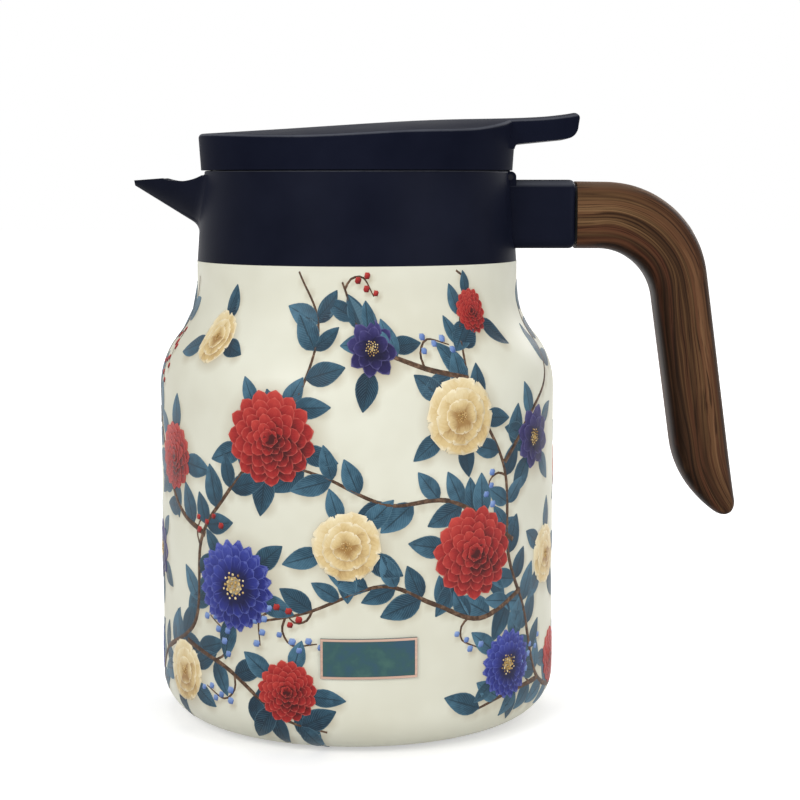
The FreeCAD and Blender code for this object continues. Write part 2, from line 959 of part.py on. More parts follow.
def pan_screw(name, along, across, base, head, head_tall, shank, length):
    """A screw on a line along Z: its head below the face at base, its shank above it."""
    parts = []
    for role, radius, low, tall in (
        ("head", head, base - head_tall, head_tall),
        ("shank", shank, base, length),
    ):
        piece = doc.addObject("Part::Cylinder", f"{name}_{role}")
        piece.setExpression("Radius", radius.text)
        piece.setExpression("Height", tall.text)
        piece.setExpression("Placement.Base.x", along.text)
        piece.setExpression("Placement.Base.y", across.text)
        piece.setExpression("Placement.Base.z", low.text)
        parts.append(piece)
    whole = doc.addObject("Part::MultiFuse", name)
    whole.Shapes = parts
    whole.Refine = True
    return whole


def screw_group(label, screws):
    group = doc.addObject("Part::Compound", label)
    group.Links = screws
    return group


def handle_screws():
    seat = d.bracket_low + d.screw_head_deep
    screws = [
        pan_screw(
            f"handle_screw_{i}", d.screw_first + d.screw_pitch * i, Size.of(0), seat, d.screw_head,
            d.screw_head_deep - d.screw_play, d.screw_shank, d.screw_tip - seat,
        )
        for i in range(2)
    ]
    return screw_group("handle_screws", screws)


# Label


def label_plate():
    body = new_body("label_plate")
    inner, half = d.shell_radius + d.label_gap, d.label_tall / 2
    sketch = outline(
        new_sketch(body, "label_outline", "XZ_Plane"),
        rectangle(inner, d.label_middle - half, inner + d.label_thick, d.label_middle + half),
    )
    plate = body.newObject("PartDesign::Revolution", "curved_plate")
    plate.Profile = sketch
    plate.ReferenceAxis = (sketch, ["V_Axis"])
    plate.Midplane = True
    plate.setExpression("Angle", "dims.label_wide / dims.shell_radius * 180 / pi * 1 deg")
    body.Placement.Rotation = FreeCAD.Rotation(FreeCAD.Vector(0, 0, 1), d.label_turn.value - 90)
    doc.recompute()
    return body


# Lid


def crown():
    """The lid's top surface, as a block under cross arches that stand along X."""
    body = new_body("crown")
    sections = []
    half, floor = d.crown_half, d.crown_floor
    for place, _, _, _ in CROWN:
        along, top, arch = (getattr(d, f"{place}_{part}") for part in ("x", "top", "arch"))
        edge = top - arch + (arch * arch - half * half).root()
        sketch = new_sketch(body, f"{place}_outline", "YZ_Plane", along)
        outline(
            sketch,
            [
                (-half, floor),
                (half, floor),
                (half, edge, arch),
                (-half, edge),
            ],
        )
        sections.append(sketch)
    loft = body.newObject("PartDesign::AdditiveLoft", "crown_block")
    loft.Profile = sections[0]
    loft.Sections = sections[1:]
    loft.Ruled = False
    doc.recompute()
    return body


def lever_blank():
    """The thumb lever: its plan flows out of the lid's wall, and its side view trims it from below."""
    body = new_body("lever_blank")
    half, flow, corner = d.lever_half, d.lever_flow, d.lever_corner
    around = d.lid_radius + flow
    out = d.derive("flow_x", (around * around - (half + flow) * (half + flow)).root())
    leave_x = d.derive("flow_start_x", out * d.lid_radius / around)
    leave_y = d.derive("flow_start_y", (half + flow) * d.lid_radius / around)
    doc.recompute()
    plan = new_sketch(body, "lever_plan", "XY_Plane", d.lever_low - d.lever_deep)
    outline(
        plan,
        [
            (d.lever_root, -leave_y),
            (leave_x, -leave_y, -flow),
            (out, -half),
            (d.lever_reach - corner, -half, corner),
            (d.lever_reach, corner - half),
            (d.lever_reach, half - corner, corner),
            (d.lever_reach - corner, half),
            (out, half, -flow),
            (leave_x, leave_y),
            (d.lever_root, leave_y),
        ],
    )
    padded(body, "lever_block", plan, d.lid_low + d.lid_tall - d.lever_low + d.lever_deep)
    low, above = d.lever_low - d.lever_deep * 2, d.lid_low + d.lid_tall + d.overrun
    before = body.Shape.Volume
    trimmed = cut_through(
        body,
        "lever_underside",
        [
            (d.lever_root - d.overrun, low),
            (d.lever_reach + d.overrun, low),
            (d.lever_reach + d.overrun, above),
            (d.lever_reach, above),
            (d.lever_end, d.lever_end_low, -d.lever_toe_bend),
            (d.lever_toe, d.lever_toe_low),
            (d.lid_radius + d.lever_under, d.lever_low, d.lever_under),
            (d.lid_radius, d.lever_low - d.lever_under),
            (d.lever_root - d.overrun, d.lever_low - d.lever_under),
        ],
        d.lid_radius,
    )
    volume_drop(trimmed, before)
    return body


def lid_disc():
    disc = doc.addObject("Part::Cone", "lid_disc")
    disc.setExpression("Radius1", "dims.lid_radius")
    disc.setExpression("Radius2", "dims.lid_top_radius")
    disc.setExpression("Height", "dims.lid_tall")
    disc.setExpression("Placement.Base.z", "dims.lid_low")
    return disc


def filleted(label, base, test, radius):
    """A Part fillet on the edges of an object that a test picks."""
    edges = [(i + 1, radius.value, radius.value) for i, e in enumerate(base.Shape.Edges) if test(e)]
    if not edges:
        raise RuntimeError(f"{label}: no edge to round")
    feature = doc.addObject("Part::Fillet", label)
    feature.Base = base
    feature.Edges = edges
    doc.recompute()
    return feature


def cover_cavity():
    """The hollow under the lid's roof, less the bosses that its screws go into."""
    body = new_body("cover_cavity")
    rise = d.roof_middle - d.roof_edge
    bend = (d.lid_bore * d.lid_bore + rise * rise) / (rise * 2)
    turned(
        body,
        "hollow",
        [
            (0, d.lid_low - d.overrun),
            (d.lid_bore, d.lid_low - d.overrun),
            (d.lid_bore, d.roof_edge, bend),
            (0, d.roof_middle),
        ],
    )
    posts = new_sketch(body, "posts_outline", "XY_Plane", d.flange_low + d.flange_tall)
    for along, across in screw_places():
        round_hole(posts, along, across, d.boss_radius)
    before = body.Shape.Volume
    bored = padded(body, "posts", posts, d.lid_tall, kind="PartDesign::Pocket", back=True)
    volume_drop(bored, before)
    return body


def screw_places():
    places = []
    for angle in LID_SCREW_ANGLES:
        turn = math.radians(angle)
        places.append((d.boss_circle * math.cos(turn), d.boss_circle * math.sin(turn)))
    return places


def hinge_lug():
    """The lug below the lid's rear wall that turns on the hinge pin."""
    body = new_body("hinge_lug")
    front, rear, top = d.axis_out - d.ear_round, d.axis_out + d.ear_round, d.lid_low + d.overrun
    sketch = outline(
        new_sketch(body, "lug_outline", "XZ_Plane"),
        [
            (front, top),
            (front, d.axis_up, d.ear_round),
            (d.axis_out, d.axis_up - d.ear_round, d.ear_round),
            (rear, d.axis_up, d.ear_round),
            (d.axis_out, d.axis_up + d.ear_round),
            (d.axis_out, top),
        ],
    )
    padded(body, "lug", sketch, d.lug_half * 2, symmetric=True)
    return body


def lid_bores():
    """What is drilled in the lid cover: the pin's bore and the screws' pilot holes."""
    body = new_body("lid_bores")
    sketch = new_sketch(body, "pin_run_outline", "XZ_Plane")
    round_hole(sketch, d.axis_out, d.axis_up, d.pin_radius + d.pin_run)
    padded(body, "pin_run", sketch, d.lug_half * 4, symmetric=True)
    drills = [body]
    for i, (along, across) in enumerate(screw_places()):
        drill = doc.addObject("Part::Cylinder", f"pilot_{i}")
        drill.setExpression("Radius", (d.lid_screw_radius + d.pin_press).text)
        drill.setExpression("Height", (d.lid_screw_length + d.screw_play).text)
        drill.setExpression("Placement.Base.x", along.text)
        drill.setExpression("Placement.Base.y", across.text)
        drill.setExpression("Placement.Base.z", d.flange_low.text)
        drills.append(drill)
    return drills


def lid_cover():
    solids = [lid_disc(), lever_blank()]
    blank = doc.addObject("Part::MultiFuse", "lid_blank")
    blank.Shapes = solids
    blank.Refine = True
    doc.recompute()
    block = crown()
    domed = doc.addObject("Part::MultiCommon", "lid_domed")
    domed.Shapes = [blank, block]
    domed.Refine = True
    doc.recompute()
    above = d.lever_end_low.value + EDGE_SLACK
    rim = filleted(
        "lid_rim",
        domed,
        lambda e: e.BoundBox.ZMax > above and abs(e.tangentAt(e.FirstParameter).z) < LEVEL
        and e.Curve.TypeId != "Part::GeomLine",
        d.lid_edge,
    )
    cavity, lug, bores = cover_cavity(), hinge_lug(), lid_bores()
    hollowed = doc.addObject("Part::Cut", "lid_hollowed")
    hollowed.Base = rim
    hollowed.Tool = cavity
    lugged = doc.addObject("Part::MultiFuse", "lid_lugged")
    lugged.Shapes = [hollowed, lug]
    drills = doc.addObject("Part::Compound", "lid_drills")
    drills.Links = bores
    cover = doc.addObject("Part::Cut", "lid_cover")
    cover.Base = lugged
    cover.Tool = drills
    doc.recompute()
    return cover


def lid_inner_plate():
    """The plate under the lid that the screws hold, with a drip rim that dips into the collar."""
    body = new_body("lid_inner_plate")
    hole, top = d.plug_radius + d.plug_play, d.flange_low + d.flange_tall
    turned(
        body,
        "plate_ring",
        [
            (hole, d.flange_low),
            (d.drip_in, d.flange_low),
            (d.drip_in, d.drip_low),
            (d.drip_out, d.drip_low),
            (d.drip_out, d.flange_low),
            (d.flange_radius, d.flange_low),
            (d.flange_radius, top),
            (hole, top),
        ],
    )
    holes = new_sketch(body, "plate_holes_outline", "XY_Plane", d.flange_low)
    for along, across in screw_places():
        round_hole(holes, along, across, d.lid_screw_radius + d.screw_play)
    before = body.Shape.Volume
    bored = padded(body, "plate_holes", holes, d.flange_tall, kind="PartDesign::Pocket", back=True)
    volume_drop(bored, before)
    return body


def lid_plug():
    """The hollow stopper, which hangs by its rim in the inner plate."""
    body = new_body("lid_plug")
    seat = d.flange_low + d.flange_tall
    top = seat + d.plug_rim_tall
    turned(
        body,
        "stopper",
        [
            (0, d.plug_low),
            (d.plug_radius - d.plug_round, d.plug_low, d.plug_round),
            (d.plug_radius, d.plug_low + d.plug_round),
            (d.plug_radius, d.groove_low),
            (d.groove_radius, d.groove_low),
            (d.groove_radius, d.groove_low + d.groove_tall),
            (d.plug_radius, d.groove_low + d.groove_tall),
            (d.plug_radius, seat),
            (d.plug_rim, seat),
            (d.plug_rim, top),
            (d.foam_radius, top),
            (d.foam_radius - d.plug_draft, d.groove_low + d.groove_tall),
            (d.foam_radius - d.plug_draft, d.plug_low + d.plug_wall),
            (0, d.plug_low + d.plug_wall),
        ],
    )
    return body


def lid_insulation():
    body = new_body("lid_insulation")
    low = d.plug_low + d.plug_wall
    radius = d.foam_radius - d.plug_draft - d.foam_play
    turned(body, "foam", [(0, low), (radius, low), (radius, d.foam_top), (0, d.foam_top)])
    return body


def lid_seal():
    body = new_body("lid_seal")
    low, top = d.groove_low, d.groove_low + d.groove_tall
    turned(
        body,
        "ring_lip",
        [
            (d.groove_radius, low),
            (d.plug_radius, low),
            (d.ring_low_radius, low - d.lip_rise),
            (d.ring_top_radius, top - d.lip_rise * 2),
            (d.ring_low_radius, top - d.lip_rise),
            (d.plug_radius, top),
            (d.groove_radius, top),
        ],
    )
    return body


def lid_screws():
    screws = [
        pan_screw(
            f"lid_screw_{i}", along, across, d.flange_low, d.lid_screw_head, d.lid_screw_head_tall,
            d.lid_screw_radius, d.lid_screw_length,
        )
        for i, (along, across) in enumerate(screw_places())
    ]
    return screw_group("lid_screws", screws)


SUB_PARTS = (
    outer_shell, shell_bottom, vacuum_seal_bead, base_cover, base_pad, inner_liner, vacuum_getter,
    collar, collar_gasket, hinge_pin, handle_washer, handle_grip, handle_tang, handle_screws,
    label_plate, lid_cover, lid_inner_plate, lid_plug, lid_insulation, lid_seal, lid_screws,
)


def main():
    pieces = [make() for make in SUB_PARTS]
    doc.recompute()
    for item in doc.Objects:
        if "Invalid" in item.State or "Error" in item.State:
            raise RuntimeError(f"{item.Label} failed: {item.State}")
    for piece in pieces:
        shape = piece.Shape
        if shape.isNull() or not shape.isValid() or not shape.Solids:
            raise RuntimeError(f"{piece.Label} has no valid solid")
    os.makedirs(OUT_FOLDER, exist_ok=True)
    for piece in pieces:
        piece.Shape.exportStep(os.path.join(OUT_FOLDER, f"{piece.Label}.step"))
        box = piece.Shape.BoundBox
        print(
            f"{piece.Label}: {len(piece.Shape.Solids)} solid, {piece.Shape.Volume / 1000:.2f} cm3, "
            f"x {box.XMin:.1f}..{box.XMax:.1f} y {box.YMin:.1f}..{box.YMax:.1f} "
            f"z {box.ZMin:.1f}..{box.ZMax:.1f}"
        )


main()
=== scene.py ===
"""Looks of an insulated teapot: cream enamel with a printed flower design, dark moulded collar and lid,
walnut grip and a small teal plate. Metres, +Z up, spout towards -X, handle towards +X."""

import math
import random

import bpy
import numpy as np
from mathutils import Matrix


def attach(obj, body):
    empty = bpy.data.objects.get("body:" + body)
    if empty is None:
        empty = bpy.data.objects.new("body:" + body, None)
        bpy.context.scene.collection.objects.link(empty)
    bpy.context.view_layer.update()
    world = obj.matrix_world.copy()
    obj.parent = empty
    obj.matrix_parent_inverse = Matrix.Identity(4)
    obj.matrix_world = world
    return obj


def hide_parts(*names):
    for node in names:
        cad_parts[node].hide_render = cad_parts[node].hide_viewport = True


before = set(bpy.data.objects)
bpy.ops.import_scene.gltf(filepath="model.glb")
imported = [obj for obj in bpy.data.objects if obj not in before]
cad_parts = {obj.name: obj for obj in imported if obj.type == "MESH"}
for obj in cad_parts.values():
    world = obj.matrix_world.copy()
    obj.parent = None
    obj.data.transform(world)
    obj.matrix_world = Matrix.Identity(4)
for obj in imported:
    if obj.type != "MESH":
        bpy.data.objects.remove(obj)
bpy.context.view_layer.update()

MM = 0.001
FULL_TURN = 2 * math.pi
SQUARE = ((-1, -1), (1, -1), (1, 1), (-1, 1))

# Steel body, in millimetres, as it was built, and how finely it is turned
SHELL_RADIUS = 62.5
SHELL_WALL = 0.8
SHELL_LOW = 1.0
BASE_ROUND = 12.4
BASE_MOUTH = 46.0
SHOULDER_LOW = 105.0
NECK_RADIUS = 50.6
NECK_LOW = 137.5
COLLAR_LOW = 144.5
SPIGOT_RADIUS = 47.2
SPIGOT_TOP = 157.6
GIRTH = FULL_TURN * SHELL_RADIUS
SHELL_SIDES = 320

# Handle grip, in millimetres: corners of its side view and the bends that round them
GRIP_START = 69.0
GRIP_LOW = 148.2
GRIP_TOP = 169.3
GRIP_HALF = 11.0
ELBOW = (91.7, GRIP_LOW)
ELBOW_BEND = 18.0
HEEL = (102.3, 73.0)
HEEL_BEND = 33.0
TOE = (121.9, 58.6)
TOE_BEND = 4.2
CROOK = (106.8, 168.8)
CROOK_BEND = 32.5
# How finely it is swept, and the share of the outer leg that runs straight
BEND_STEPS = 24
STRETCH_PARTS = (6, 30, 30, 30)
LEG_STRAIGHT = 0.80
# The toe narrows below a share of the full thickness, down to a share of the full width
TOE_FULL = 0.55
TOE_LEAST = 0.35

# Label plate and its border, in millimetres
LABEL_WIDE = 28.5
LABEL_TALL = 12.0
LABEL_MIDDLE = 30.6
LABEL_RISE = 0.57
LABEL_TURN = math.radians(4.2)
BORDER_WIDTH = 0.70
BORDER_INSET = 0.06
BORDER_SINK = 0.10
BORDER_RISE = 0.12

# Painted shadow of a motif: its fall to the right and down in millimetres, its spread, core and fade
SHADOW_RIGHT = 0.9
SHADOW_DOWN = 1.1
SHADOW_SPREAD = 1.12
SHADOW_CORE = 1.55
SHADOW_FADE = 1.3

# Paints, as linear colours, and the gloss of the print
CREAM = (0.725, 0.722, 0.612, 1)
CREAM_DEEP = (0.638, 0.624, 0.508, 1)
SHADE = (0.36, 0.29, 0.18, 1)
NAVY_BLACK = (0.0052, 0.0064, 0.0140, 1)
# Colour of the painted highlight on the upper edges of the mouldings
PAINTED_HIGHLIGHT_TINT = (0.070, 0.074, 0.090, 1)
PRINT_GLOSS = {"IOR": 1.5, "Specular_IOR_Level": 0.2}


# Node helpers: one that is given a socket adds its node to that socket's tree


def put(tree, kind, inputs=None, **settings):
    """Adds a node, sets it up and wires or sets its inputs by name or number."""
    item = tree.nodes.new(kind)
    for name, value in settings.items():
        setattr(item, name, value)
    for key, value in (inputs or {}).items():
        socket = item.inputs[key]
        if isinstance(value, bpy.types.NodeSocket):
            tree.links.new(value, socket)
        else:
            socket.default_value = value
    return item


def maths(operation, first, second=0.0, clamp=False):
    inputs = {0: first, 1: second}
    return put(first.id_data, "ShaderNodeMath", inputs, operation=operation, use_clamp=clamp).outputs[0]


def times(first, second, clamp=False):
    return maths("MULTIPLY", first, second, clamp)


def total(first, *others):
    for other in others:
        first = maths("ADD", first, other)
    return first


def mixed(factor, first, second):
    inputs = {0: factor, 6: first, 7: second}
    return put(factor.id_data, "ShaderNodeMix", inputs, data_type="RGBA").outputs[2]


def span(value, low, high, new_low=0.0, new_high=1.0, smooth=False):
    """Maps a value from one range to another, held at the ends."""
    inputs = {0: value, 1: low, 2: high, 3: new_low, 4: new_high}
    easing = "SMOOTHSTEP" if smooth else "LINEAR"
    return put(value.id_data, "ShaderNodeMapRange", inputs, interpolation_type=easing).outputs[0]


def ramp(value, *stops):
    """A colour ramp from (place, colour) stops."""
    item = put(value.id_data, "ShaderNodeValToRGB", {0: value})
    band = item.color_ramp.elements
    while len(band) < len(stops):
        band.new(0.5)
    for element, (place, colour) in zip(band, stops):
        element.position = place
        element.color = colour
    return item.outputs[0]


def noise(vector, scale, detail, roughness=0.5):
    inputs = {"Vector": vector, "Scale": scale, "Detail": detail, "Roughness": roughness}
    return put(vector.id_data, "ShaderNodeTexNoise", inputs).outputs[0]


def streaky(vector, stretch, detail, roughness):
    """Noise drawn out by its own scale along each axis."""
    drawn = put(vector.id_data, "ShaderNodeMapping", {"Vector": vector, "Scale": stretch}).outputs[0]
    return noise(drawn, 1.0, detail, roughness)


def parts_of(vector):
    return put(vector.id_data, "ShaderNodeSeparateXYZ", {0: vector}).outputs


def object_space(tree):
    return put(tree, "ShaderNodeTexCoord").outputs["Object"]


def attribute(tree, name, output="Fac"):
    return put(tree, "ShaderNodeAttribute", attribute_name=name).outputs[output]


def bump(height, distance, strength):
    inputs = {"Height": height, "Distance": distance, "Strength": strength}
    return put(height.id_data, "ShaderNodeBump", inputs).outputs[0]


def new_material(name, **constants):
    """A material with one Principled shader, its fixed values set on the shader's own sockets."""
    material = bpy.data.materials.new(name)
    material.use_nodes = True
    shader = material.node_tree.nodes["Principled BSDF"]
    for key, value in constants.items():
        shader.inputs[key.replace("_", " ")].default_value = value
    return material, material.node_tree, shader


def wire(shader, **sockets):
    for key, socket in sockets.items():
        shader.id_data.links.new(socket, shader.inputs[key.replace("_", " ")])


def new_group(name, inputs, outputs):
    """An empty shader node group with float inputs, (name, default) each, and named outputs."""
    group = bpy.data.node_groups.new(name, "ShaderNodeTree")
    for label, default in inputs:
        socket = group.interface.new_socket(label, in_out="INPUT", socket_type="NodeSocketFloat")
        socket.default_value = default
    for label in outputs:
        group.interface.new_socket(label, in_out="OUTPUT", socket_type="NodeSocketFloat")
    return group, group.nodes.new("NodeGroupInput").outputs, group.nodes.new("NodeGroupOutput").inputs


def place_group(tree, group, **inputs):
    item = tree.nodes.new("ShaderNodeGroup")
    item.node_tree = group
    for key, value in inputs.items():
        item.inputs[key.replace("_", " ")].default_value = value
    return item.outputs


# Shared surface effects

# How soon the painted edge highlight comes in and goes out, as steps of the upward part of a normal
HIGHLIGHT_FADE_IN = 0.28
HIGHLIGHT_FADE_OUT = 0.10


def make_surface_grain():
    """Fine grain and slow cloudiness of a moulded or rubbed surface, in object space."""
    inputs = [("Grain Scale", 900.0), ("Cloud Scale", 40.0)]
    group, given, out = new_group("surface_grain", inputs, ["Grain", "Cloud"])
    place = object_space(group)
    fine = noise(place, given["Grain Scale"], 4.0, 0.6)
    slow = noise(place, given["Cloud Scale"], 3.0, 0.55)
    group.links.new(fine, out["Grain"])
    group.links.new(slow, out["Cloud"])
    return group


SURFACE_GRAIN = make_surface_grain()


def make_brush_lines():
    """Fine rings of a turned or brushed metal piece around the pot's axis."""
    group, given, out = new_group("brush_lines", [("Line Scale", 2500.0)], ["Lines"])
    x, y, z = parts_of(object_space(group))
    reach = maths("SQRT", total(times(x, x), times(y, y)))
    across = times(total(reach, z), given["Line Scale"])
    inputs = {"W": across, "Scale": 1.0, "Detail": 4.0}
    lines = put(group, "ShaderNodeTexNoise", inputs, noise_dimensions="1D").outputs[0]
    group.links.new(lines, out["Lines"])
    return group


BRUSH_LINES = make_brush_lines()


def make_edge_highlight_mask():
    """Mask of a painted highlight: 1 on rounded upper edges, where a surface turns from upright to level,
    from its normal.
    """
    group, given, out = new_group("edge_rub", [("Upright", 0.34), ("Level", 0.97)], ["Edge"])
    facing = put(group, "ShaderNodeTexCoord").outputs["Normal"]
    rise = parts_of(facing)[2]
    shoulder = maths("ADD", given["Upright"], HIGHLIGHT_FADE_IN)
    brow = maths("SUBTRACT", given["Level"], HIGHLIGHT_FADE_OUT)
    over = span(rise, given["Upright"], shoulder)
    under = span(rise, brow, given["Level"], 1.0, 0.0)
    group.links.new(times(over, under), out["Edge"])
    return group


EDGE_HIGHLIGHT_MASK = make_edge_highlight_mask()


# Materials


def shade(tint, factor=1.0, lift=0.0):
    """An opaque colour, made darker or lighter by a factor and a lift."""
    return tuple(channel * factor + lift for channel in tint[:3]) + (1,)


def paint_map(tree):
    """The paint map of a printed shape as a vector, and its shares across and along."""
    uv = put(tree, "ShaderNodeUVMap", uv_map="paint").outputs[0]
    across, along, _ = parts_of(uv)
    return uv, across, along


def cream_enamel():
    material, tree, shader = new_material("cream_enamel", IOR=1.5, Specular_IOR_Level=0.22)
    clouds = place_group(tree, SURFACE_GRAIN, Grain_Scale=420.0, Cloud_Scale=26.0)
    base = mixed(span(clouds["Cloud"], 0.35, 0.68), CREAM, CREAM_DEEP)
    shadow = times(attribute(tree, "printed_shadow"), 0.9, clamp=True)
    wire(
        shader,
        Base_Color=mixed(shadow, base, SHADE),
        Roughness=span(clouds["Cloud"], 0.3, 0.7, 0.40, 0.50),
        Normal=bump(clouds["Grain"], 0.00003, 0.35),
    )
    return material


def petal_paint(name, dark, middle, light, rim):
    """Painted petals: dark at the root, bright towards the tip, with fine veins and a pale rim."""
    material, tree, shader = new_material(name, **PRINT_GLOSS)
    uv, across, along = paint_map(tree)
    tone, lit, depth = (attribute(tree, word) for word in ("tone", "lit", "depth"))
    veins = streaky(uv, (26.0, 2.2, 1.0), 3.0, 0.6)
    blotches = noise(object_space(tree), 700.0, 2.0)
    level = total(
        times(along, 0.72), times(lit, 0.17),
        span(tone, 0.0, 1.0, -0.10, 0.10),
        span(veins, 0.25, 0.75, -0.10, 0.10),
        span(blotches, 0.3, 0.7, -0.05, 0.05),
        times(depth, -0.10),
    )
    body = ramp(level, (0.10, dark), (0.46, middle), (0.92, light))
    side = maths("ABSOLUTE", span(across, 0.0, 1.0, -1.0, 1.0))
    edge = maths("MAXIMUM", span(side, 0.80, 1.0), span(along, 0.88, 1.0))
    edge = times(edge, span(along, 0.35, 0.8))
    wire(
        shader,
        Base_Color=mixed(times(edge, 0.75), body, rim),
        Roughness=span(veins, 0.3, 0.7, 0.36, 0.48),
        Normal=bump(veins, 0.00008, 0.5),
    )
    return material


def leaf_paint():
    """Painted leaves: a dark midrib, pale slanting veins, one half darker than the other."""
    material, tree, shader = new_material("leaf_paint", **PRINT_GLOSS)
    _, across, along = paint_map(tree)
    tone, lit = attribute(tree, "tone"), attribute(tree, "lit")
    half = span(across, 0.0, 1.0, -1.0, 1.0)
    away = maths("ABSOLUTE", half)
    slanted = total(times(along, 13.0), times(away, -4.2))
    wave = maths("ABSOLUTE", maths("SINE", times(slanted, math.pi)))
    vein = span(wave, 0.0, 0.42, 1.0, 0.0)
    mottle = noise(object_space(tree), 420.0, 3.0)
    level = total(
        span(half, -1.0, 1.0, 0.10, 0.34), times(lit, 0.12), times(along, 0.36),
        span(tone, 0.0, 1.0, -0.20, 0.20),
        span(mottle, 0.3, 0.7, -0.14, 0.14),
    )
    body = ramp(
        level,
        (0.02, (0.006, 0.018, 0.034, 1)),
        (0.42, (0.017, 0.054, 0.086, 1)),
        (0.95, (0.070, 0.172, 0.250, 1)),
    )
    pale = (0.125, 0.245, 0.315, 1)
    body = mixed(times(vein, 0.42), body, pale)
    body = mixed(span(away, 0.03, 0.10, 0.8, 0.0), body, (0.010, 0.026, 0.040, 1))
    body = mixed(span(away, 0.86, 1.0, 0.0, 0.40), body, pale)
    wire(
        shader,
        Base_Color=body,
        Roughness=span(mottle, 0.3, 0.7, 0.36, 0.5),
        Normal=bump(wave, 0.00006, 0.5),
    )
    return material


def bark_paint():
    material, tree, shader = new_material("bark_paint", **PRINT_GLOSS)
    knots = noise(object_space(tree), 620.0, 4.0, 0.65)
    body = ramp(
        knots,
        (0.30, (0.018, 0.010, 0.007, 1)), (0.52, (0.085, 0.045, 0.026, 1)), (0.75, (0.24, 0.15, 0.095, 1)),
    )
    wire(shader, Base_Color=body, Roughness=span(knots, 0.3, 0.7, 0.4, 0.6),
         Normal=bump(knots, 0.0002, 0.6))
    return material


def pollen_paint():
    material, tree, shader = new_material("pollen_paint", **PRINT_GLOSS)
    speck = noise(object_space(tree), 1500.0, 2.0)
    level = total(times(attribute(tree, "tone"), 0.6), span(speck, 0.3, 0.7, 0.0, 0.4))
    body = ramp(
        level,
        (0.10, (0.20, 0.10, 0.025, 1)), (0.5, (0.62, 0.42, 0.15, 1)), (0.95, (0.86, 0.74, 0.44, 1)),
    )
    wire(shader, Base_Color=body, Roughness=span(speck, 0.3, 0.7, 0.4, 0.6))
    return material


def moulded_navy(name="moulded_navy", tint=NAVY_BLACK, grain=1400.0, sheen=0.05):
    """Satin navy-black moulding with a fine spark-eroded grain and a patchy painted highlight on its upper
    edges.
    """
    material, tree, shader = new_material(name, IOR=1.3, Specular_IOR_Level=sheen)
    field = place_group(tree, SURFACE_GRAIN, Grain_Scale=grain, Cloud_Scale=34.0)
    body = mixed(span(field["Cloud"], 0.35, 0.7), tint, shade(tint, 1.35, 0.0015))
    patchy = span(field["Cloud"], 0.3, 0.6, 0.55, 1.0)
    # A patchy painted highlight where the surface turns over at its upper edges
    painted_highlight = times(place_group(tree, EDGE_HIGHLIGHT_MASK)["Edge"], patchy)
    wire(
        shader,
        Base_Color=mixed(painted_highlight, body, PAINTED_HIGHLIGHT_TINT),
        Roughness=span(field["Cloud"], 0.3, 0.7, 0.34, 0.44),
        Normal=bump(field["Grain"], 0.00004, 0.45),
    )
    return material


def walnut():
    """Oiled walnut whose grain runs along the grip, through its straightened length, and painted light and
    shade.
    """
    material, tree, shader = new_material("walnut", IOR=1.5, Specular_IOR_Level=0.05)
    along = attribute(tree, "grain_space", "Vector")
    travel = parts_of(along)[0]
    # Share from inner to outer side and weight of the rounded corners, which carry painted shade
    side, edge = attribute(tree, "grain_side"), attribute(tree, "grain_edge")
    drift = streaky(along, (9.0, 60.0, 60.0), 3.0, 0.55)
    sway = put(
        tree, "ShaderNodeCombineXYZ",
        {1: span(drift, 0.2, 0.8, -0.0035, 0.0035), 2: span(drift, 0.2, 0.8, 0.003, -0.003)},
    ).outputs[0]
    bent = put(tree, "ShaderNodeVectorMath", {0: along, 1: sway}, operation="ADD").outputs[0]
    bands = streaky(bent, (4.0, 330.0, 220.0), 3.0, 0.6)
    streaks = streaky(bent, (9.0, 1150.0, 800.0), 3.0, 0.62)
    lines = streaky(bent, (13.0, 1900.0, 1300.0), 2.0, 0.5)
    hue = streaky(bent, (7.0, 520.0, 360.0), 2.0, 0.5)
    level = total(
        times(bands, 0.5), times(streaks, 0.5),
        # Painted shade: darker on the inner side, lighter on the outer side
        span(side, -1.0, 1.0, -0.075, 0.065),
        # Painted light and shade along the grip: lightest at the root, darkest towards the toe
        span(travel, 0.006, 0.034, 0.055, -0.050),
        span(travel, 0.034, 0.075, 0.0, 0.040),
        span(travel, 0.085, 0.130, 0.0, -0.085),
        # Painted shade at the four rounded corners
        times(edge, -0.13),
    )
    body = ramp(
        level,
        (0.28, (0.011, 0.0052, 0.0030, 1)),
        (0.42, (0.043, 0.0205, 0.0100, 1)),
        (0.54, (0.100, 0.0520, 0.0235, 1)),
        (0.70, (0.225, 0.1290, 0.0620, 1)),
    )
    body = mixed(span(hue, 0.48, 0.72, 0.0, 0.55), body, (0.120, 0.0420, 0.0215, 1))
    line = span(lines, 0.44, 0.36)
    body = mixed(times(line, 0.68), body, (0.012, 0.0055, 0.0030, 1))
    relief = total(streaks, times(line, -0.4))
    wire(
        shader,
        Base_Color=body,
        Roughness=span(level, 0.3, 0.7, 0.46, 0.58),
        Normal=bump(relief, 0.00008, 0.35),
    )
    return material


def metal(name, tint, rough_low, rough_high, line_scale=2600.0):
    """A turned or brushed metal."""
    material, tree, shader = new_material(name, Metallic=1.0)
    lines = place_group(tree, BRUSH_LINES, Line_Scale=line_scale)["Lines"]
    wire(
        shader,
        Base_Color=mixed(span(lines, 0.3, 0.7), shade(tint, 0.82), tint),
        Roughness=span(lines, 0.3, 0.7, rough_low, rough_high),
        Normal=bump(lines, 0.00002, 0.3),
    )
    return material


def soft_rubber(name, tint):
    material, tree, shader = new_material(name, IOR=1.43, Specular_IOR_Level=0.2)
    field = place_group(tree, SURFACE_GRAIN, Grain_Scale=1100.0, Cloud_Scale=60.0)
    wire(
        shader,
        Base_Color=mixed(span(field["Cloud"], 0.3, 0.7), shade(tint, 0.8), tint),
        Roughness=span(field["Grain"], 0.3, 0.7, 0.55, 0.72),
        Normal=bump(field["Grain"], 0.00004, 0.5),
    )
    return material


